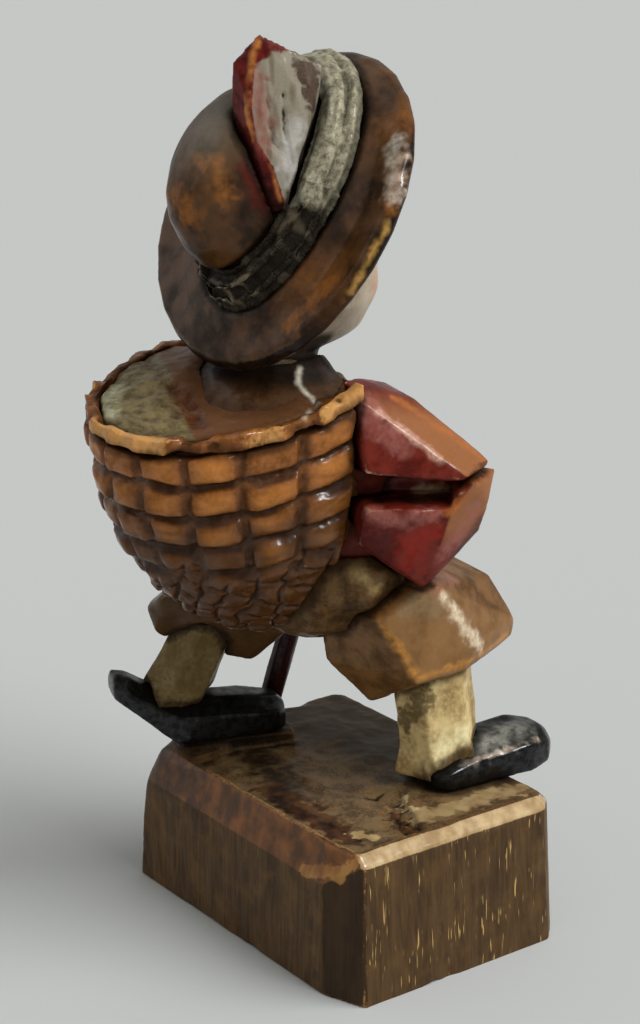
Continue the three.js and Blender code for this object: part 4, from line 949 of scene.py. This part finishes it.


# Some patches and glazes below paint light and shade into the colour: dark shade and shadow, pale
# highlights and sheens
FINISHES = {
    "base_wood": base_finish(),
    "shoe_paint": worn_paint(
        "black_shoe_paint", ((8, 8, 8), (22, 23, 23), (40, 42, 41)),
        ((70, 66, 54), (120, 112, 94)), SHADOW_BLACK, (),
        [("dust_and_sheen", (158, 158, 146), 0.75, 0.5), ("painted_highlight", HIGHLIGHT_TONE, 0.9, 0.6)],
        lump=0.9, rough=0.3, coat=0.5, wear=0.6, bump=0.35, seed=11),
    "stocking_paint": worn_paint(
        "ochre_stocking_paint", ((150, 122, 74), (212, 187, 131), (236, 220, 174)),
        ((170, 132, 74), (206, 180, 128)), (46, 32, 16),
        [("painted_shade", (92, 75, 42), 0.85)], [("cream", (244, 232, 180), 0.9, 0.25)],
        lump=2.2, rough=0.5, coat=0.15, wear=0.5, seed=13),
    "breeches_stain": worn_paint(
        "brown_breeches_stain", ((86, 58, 31), (122, 86, 48), (146, 106, 62)),
        BARE_GOLD, UMBER, [("painted_shade", (66, 45, 25), 0.8)],
        [("rubbed", (162, 120, 74), 0.75, 0.1), ("dust_and_sheen", (144, 126, 96), 0.6, 0.4),
         ("rosy", (164, 104, 92), 0.6, 0.5), ("gold", (200, 138, 60), 0.95, 0.6),
         ("painted_highlight", (232, 214, 184), 1.0, 0.6)],
        lump=2.4, rough=0.36, coat=0.35, wear=0.8, bump=0.25, seed=17, speckle=0.1, mottle=0.2),
    "seat_stain": worn_paint(
        "olive_seat_stain", ((70, 48, 25), (106, 77, 43), (132, 100, 58)),
        BARE_GOLD, UMBER, (), [("painted_shadow", SHADOW_BLACK, 0.8, 0.5), ("straw", (178, 150, 98), 0.85, 0.45)],
        lump=1.5, rough=0.45, coat=0.2, wear=0.6, grime_and_shade=0.6, seed=19),
    "sleeve_paint": worn_paint(
        "red_sleeve_paint", ((80, 19, 11), (114, 36, 23), (136, 60, 44)),
        BARE_PINK, (22, 6, 4), (),
        [("rubbed", (156, 102, 62), 0.95, 0.1), ("deep", (60, 10, 8), 0.85, 0.2),
         ("bright", (146, 33, 17), 0.8, 0.2), ("rosy", (164, 102, 92), 0.75, 0.35),
         ("rust", (184, 108, 52), 0.85, 0.4), ("painted_highlight", (214, 168, 146), 0.95, 0.6),
         ("painted_shadow", SHADOW_BLACK, 0.95, 0.0), ("raw", (196, 166, 124), 0.9, 0.4)],
        lump=2.2, rough=0.34, coat=0.25, wear=0.9, bump=0.25, seed=23, speckle=0.1, mottle=0.15),
    "jacket_paint": worn_paint(
        "red_jacket_paint", ((92, 27, 16), (130, 48, 31), (148, 76, 56)),
        BARE_PINK, (28, 9, 7), lump=1.6, rough=0.4, coat=0.2, wear=0.8, grime_and_shade=0.6, seed=29),
    "vest_stain": worn_paint(
        "brown_vest_stain", ((64, 41, 23), (94, 64, 40), (114, 82, 54)),
        BARE_GOLD, (14, 8, 5), (), [("painted_shadow", SHADOW_BLACK, 0.95, 0.1), ("drip", DRIP, 0.95, 0.25)],
        lump=2.0, rough=0.4, coat=0.25, wear=0.3, grime_and_shade=0.25, bump=0.25, seed=31, speckle=0.12),
    "linen_paint": worn_paint(
        "cream_linen_paint", ((150, 136, 104), (196, 184, 150), (220, 212, 186)),
        BARE_GOLD, (50, 34, 20), lump=1.2, rough=0.5, coat=0.1, wear=0.6, seed=37),
    "skin_paint": face_finish(),
    "hair_stain": worn_paint(
        "brown_hair_stain", ((40, 24, 13), (70, 43, 23), (92, 60, 32)),
        BARE_DARK, (14, 8, 5), lump=1.0, coat=0.2, wear=0.7, seed=41),
    "hat_stain": worn_paint(
        "dark_hat_stain", ((30, 18, 9), (88, 56, 26), (128, 86, 42)),
        BARE_DARK, (10, 7, 4), [("painted_shadow", SHADOW_BLACK, 0.9)],
        [("shade", (30, 19, 11), 0.8, 0.2), ("ember", (158, 98, 40), 0.85, 0.45),
         ("red", (100, 22, 13), 0.7, 0.3), ("gold", (214, 166, 88), 0.95, 0.5),
         ("dust_and_sheen", (126, 119, 104), 0.8, 0.2), ("painted_highlight", (214, 206, 190), 0.9, 0.55)],
        lump=4.0, rough=0.32, coat=0.3, wear=0.4, bump=0.2, seed=43, gleam=0.12, mottle=0.15, speckle=0.1),
    "cord_paint": worn_paint(
        "grey_cord_paint", ((104, 99, 80), (172, 166, 140), (212, 208, 186)),
        ((150, 136, 104), (196, 186, 156)), (20, 15, 10),
        [("darkened", (38, 27, 18), 0.95)], [("fleck", (128, 116, 92), 0.75, 0.4)],
        lump=0.8, rough=0.4, coat=0.3, wear=0.6, grime_and_shade=0.6, seed=47),
    "feather_paint": worn_paint(
        "red_feather_paint", ((70, 12, 7), (108, 22, 14), (130, 40, 28)),
        ((160, 96, 48), (196, 140, 84)), (20, 7, 4),
        [("grey", (148, 142, 124), 0.9), ("wedge", (72, 54, 42), 0.95)],
        [("streak", (98, 86, 68), 0.75, 0.3), ("pink", (142, 78, 68), 0.9, 0.5),
         ("painted_sheen", (190, 186, 180), 0.9, 0.3), ("ridge", (210, 136, 66), 1.0, 0.35)],
        lump=0.9, rough=0.4, coat=0.25, wear=0.5, seed=53),
    "basket_stain": worn_paint(
        "golden_basket_stain", ((108, 64, 28), (150, 91, 41), (178, 116, 58)),
        ((160, 102, 46), (202, 146, 80)), (44, 25, 12),
        [("faded", (150, 112, 74), 0.5), ("gold", (212, 156, 90), 0.9)],
        [("painted_shade", (64, 39, 19), 0.9, 0.1), ("pad", (206, 132, 58), 0.95, 0.25),
         ("crease", (42, 23, 11), 0.9, 0.2), ("drip", DRIP, 0.95, 0.25)],
        lump=1.6, rough=0.32, coat=0.5, wear=0.65, grime_and_shade=0.8, seed=59),
    "load_paint": worn_paint(
        "grey_green_load_paint", ((86, 73, 46), (132, 116, 78), (164, 150, 112)),
        BARE_GOLD, (40, 28, 16), [("brown", (106, 65, 38), 0.9)],
        [("smear", (194, 194, 160), 0.9, 0.5), ("rust", (78, 38, 16), 0.85, 0.3),
         ("drip", DRIP, 0.95, 0.25)],
        lump=1.2, rough=0.45, coat=0.25, wear=0.5, grime_and_shade=0.3, seed=61),
    "strap_stain": worn_paint(
        "brown_strap_stain", ((52, 32, 17), (84, 54, 29), (106, 72, 42)),
        BARE_DARK, (16, 9, 5), lump=1.0, coat=0.2, wear=0.8, seed=67),
    "staff_paint": worn_paint(
        "maroon_staff_paint", ((26, 8, 5), (48, 15, 10), (66, 27, 19)),
        BARE_DARK, (8, 3, 2), lump=0.9, rough=0.4, coat=0.25, wear=0.6, seed=71),
}

# Node, size of the even skin in millimetres, shaping and slot
PIECES = [
    ("base_block", 0.26, shape_base, "base_wood"),
    ("right_shoe", 0.18, shape_cloth(30, 0.07, 21), "shoe_paint"),
    ("left_shoe", 0.18, shape_cloth(30, 0.07, 23), "shoe_paint"),
    ("right_stocking", 0.18, shape_stocking, "stocking_paint"),
    ("left_stocking", 0.18, shape_stocking, "stocking_paint"),
    ("right_breeches_leg", 0.18, shape_breeches(40, 0.1, 25), "breeches_stain"),
    ("left_breeches_leg", 0.18, shape_breeches(40, 0.1, 27), "breeches_stain"),
    ("breeches_seat", 0.18, shape_cloth(40, 0.1, 29), "seat_stain"),
    ("jacket_body", 0.22, shape_jacket, "jacket_paint"),
    ("vest_back", 0.2, shape_vest, "vest_stain"),
    ("shirt_collar", 0.18, shape_cloth(20, 0.08, 33), "linen_paint"),
    ("shirt_front", 0.18, shape_cloth(20, 0.08, 35), "linen_paint"),
    ("right_upper_sleeve", 0.18, shape_sleeve(30, 0.1, 37), "sleeve_paint"),
    ("right_fore_sleeve", 0.18, shape_sleeve(36, 0.1, 39), "sleeve_paint"),
    ("left_upper_sleeve", 0.18, shape_sleeve(30, 0.1, 41), "sleeve_paint"),
    ("left_fore_sleeve", 0.18, shape_sleeve(30, 0.1, 43), "sleeve_paint"),
    ("left_hand", 0.15, shape_hand, "skin_paint"),
    ("staff", 0.18, shape_staff, "staff_paint"),
    ("head", 0.17, shape_head, "skin_paint"),
    ("hair", 0.18, shape_hair, "hair_stain"),
    ("hat_brim", 0.2, shape_brim, "hat_stain"),
    ("hat_crown", 0.2, shape_crown, "hat_stain"),
    ("hat_cord", 0.16, shape_cord, "cord_paint"),
    ("hat_feather", 0.15, shape_feather, "feather_paint"),
    ("basket_shell", 0.22, shape_basket, "basket_stain"),
    ("basket_rim", 0.18, shape_rim, "basket_stain"),
    ("basket_load", 0.2, shape_load, "load_paint"),
    ("right_strap", 0.18, shape_cloth(30, 0.07, 45), "strap_stain"),
    ("left_strap", 0.18, shape_cloth(30, 0.07, 47), "strap_stain"),
]


def closeness(carvings):
    """How crowded each point is by other pieces, from 0 in the open to 1 in a tight seam."""
    low = np.min([w.co.min(0) for w in carvings], 0) - CROWD_MARGIN
    high = np.max([w.co.max(0) for w in carvings], 0) + CROWD_MARGIN
    size = tuple(int(v) for v in (high - low) / CROWD_CELL + 1)
    places = [((w.co - low) / CROWD_CELL).astype(np.int64) for w in carvings]
    count = np.zeros(size, np.int16)
    for place in places:
        own = np.unique(np.ravel_multi_index(place.T, size))
        count.ravel()[own] += 1
    found = []
    for place in places:
        first = np.maximum(place.min(0) - CROWD_EDGE, 0)
        last = np.minimum(place.max(0) + CROWD_EDGE + 1, size)
        box = tuple(slice(a, b) for a, b in zip(first, last))
        others = count[box].astype(np.float32)
        here = tuple((place - first).T)
        own = np.zeros(others.shape, bool)
        own[here] = True
        others = (others - own > 0).astype(np.float32)
        for axis in range(3):
            total = np.cumsum(others, axis)
            others = np.roll(total, -CROWD_SPREAD, axis) - np.roll(total, CROWD_SPREAD + 1, axis)
        found.append(np.clip(others[here] / CROWD_FULL, 0, 1))
    return found


# Carving of every piece, then wear, grime with painted shade in the seams, and paint

bench = []
slots = []
for node, voxel, shape, slot in PIECES:
    wood = Carving(node, voxel)
    wood.rub(1)
    wood.relax(2)
    wood.push(SEAM_FILL)
    shape(wood)
    for name, points, width in STROKES.get(node, ()):
        wood.mark(name, wood.stroke(points, width))
    bench.append(wood)
    slots.append(slot)

for wood, crowded, slot in zip(bench, closeness(bench), slots):
    stand = wood.bend(int(round((WEAR_REACH / wood.voxel) ** 2 * 2)))
    for _ in range(3):
        crowded = wood.mean(crowded)
    wood.mark("wear", (stand - WEAR_FROM) / WEAR_RISE * (1 - 0.8 * crowded))
    # Stain in what lies back, and painted shade where other pieces crowd close
    wood.mark("grime_and_shade", np.maximum(-stand - GRIME_FROM, 0) / GRIME_RISE + 0.75 * crowded)
    wood.done(FINISHES[slot], slot)

# Stage: a plain pale floor, pale surroundings, a wide soft lamp on the right and two lamps for shine

FLOOR_HALF = 4.0
ROOM_TINT = (1.0, 0.985, 0.955, 1.0)
ROOM_STRENGTH = 0.385
KEY_FROM = (-0.6, -0.35, 0.72)
WINDOW_FROM = (0.62, 0.45, 0.64)

floor_work = bmesh.new()
bmesh.ops.create_grid(floor_work, x_segments=1, y_segments=1, size=FLOOR_HALF)
floor_mesh = bpy.data.meshes.new("floor")
floor_work.to_mesh(floor_mesh)
floor_work.free()
floor = bpy.data.objects.new("floor", floor_mesh)
bpy.context.scene.collection.objects.link(floor)
ground = Finish("pale_floor")
ground.fill(ground.shader, {
    "Base Color": paint(199, 202, 201),
    "Roughness": 0.9,
    "Specular IOR Level": PLAIN_SHINE,
})
floor_mesh.materials.append(ground.material)

world = bpy.data.worlds.new("pale_room")
bpy.context.scene.world = world
world.use_nodes = True
room = world.node_tree.nodes["Background"]
room.inputs["Color"].default_value = ROOM_TINT
room.inputs["Strength"].default_value = ROOM_STRENGTH


def lamp(name, way, power, spread, lights, shines):
    """A far lamp that way, spread degrees wide; it lights the paint, shines in the varnish or both."""
    light = bpy.data.lights.new(name, "SUN")
    light.energy = power
    light.angle = math.radians(spread)
    holder = bpy.data.objects.new(name, light)
    holder.rotation_euler = Vector(way).to_track_quat("Z", "Y").to_euler()
    holder.visible_diffuse = lights
    holder.visible_glossy = shines
    bpy.context.scene.collection.objects.link(holder)


lamp("key", KEY_FROM, power=2.6, spread=50, lights=True, shines=False)
lamp("sheen", KEY_FROM, power=1.8, spread=14, lights=False, shines=True)
lamp("window", WINDOW_FROM, power=0.4, spread=70, lights=False, shines=True)

# Camera as it stood for the photograph: place in metres, the picture's right and up, focal length in pixels

CAMERA_PLACE = (-0.186278, 0.14153, 0.119189)
CAMERA_RIGHT = Vector((-0.59535, -0.80346, 0.0))
CAMERA_UP = Vector((0.23427, -0.17359, 0.95655))
FOCAL_PIXELS = 2200.0
PICTURE_PIXELS = 1024.0
SENSOR = 36.0

camera = bpy.data.cameras.new("camera")
camera.sensor_width = SENSOR
camera.lens = SENSOR * FOCAL_PIXELS / PICTURE_PIXELS
camera.clip_start = 0.01
camera_holder = bpy.data.objects.new("camera", camera)
camera_back = CAMERA_RIGHT.cross(CAMERA_UP)
camera_turn = Matrix((CAMERA_RIGHT, CAMERA_UP, camera_back)).transposed().to_4x4()
camera_holder.matrix_world = Matrix.Translation(CAMERA_PLACE) @ camera_turn
bpy.context.scene.collection.objects.link(camera_holder)
bpy.context.scene.camera = camera_holder
bpy.context.scene.view_settings.view_transform = "Standard"
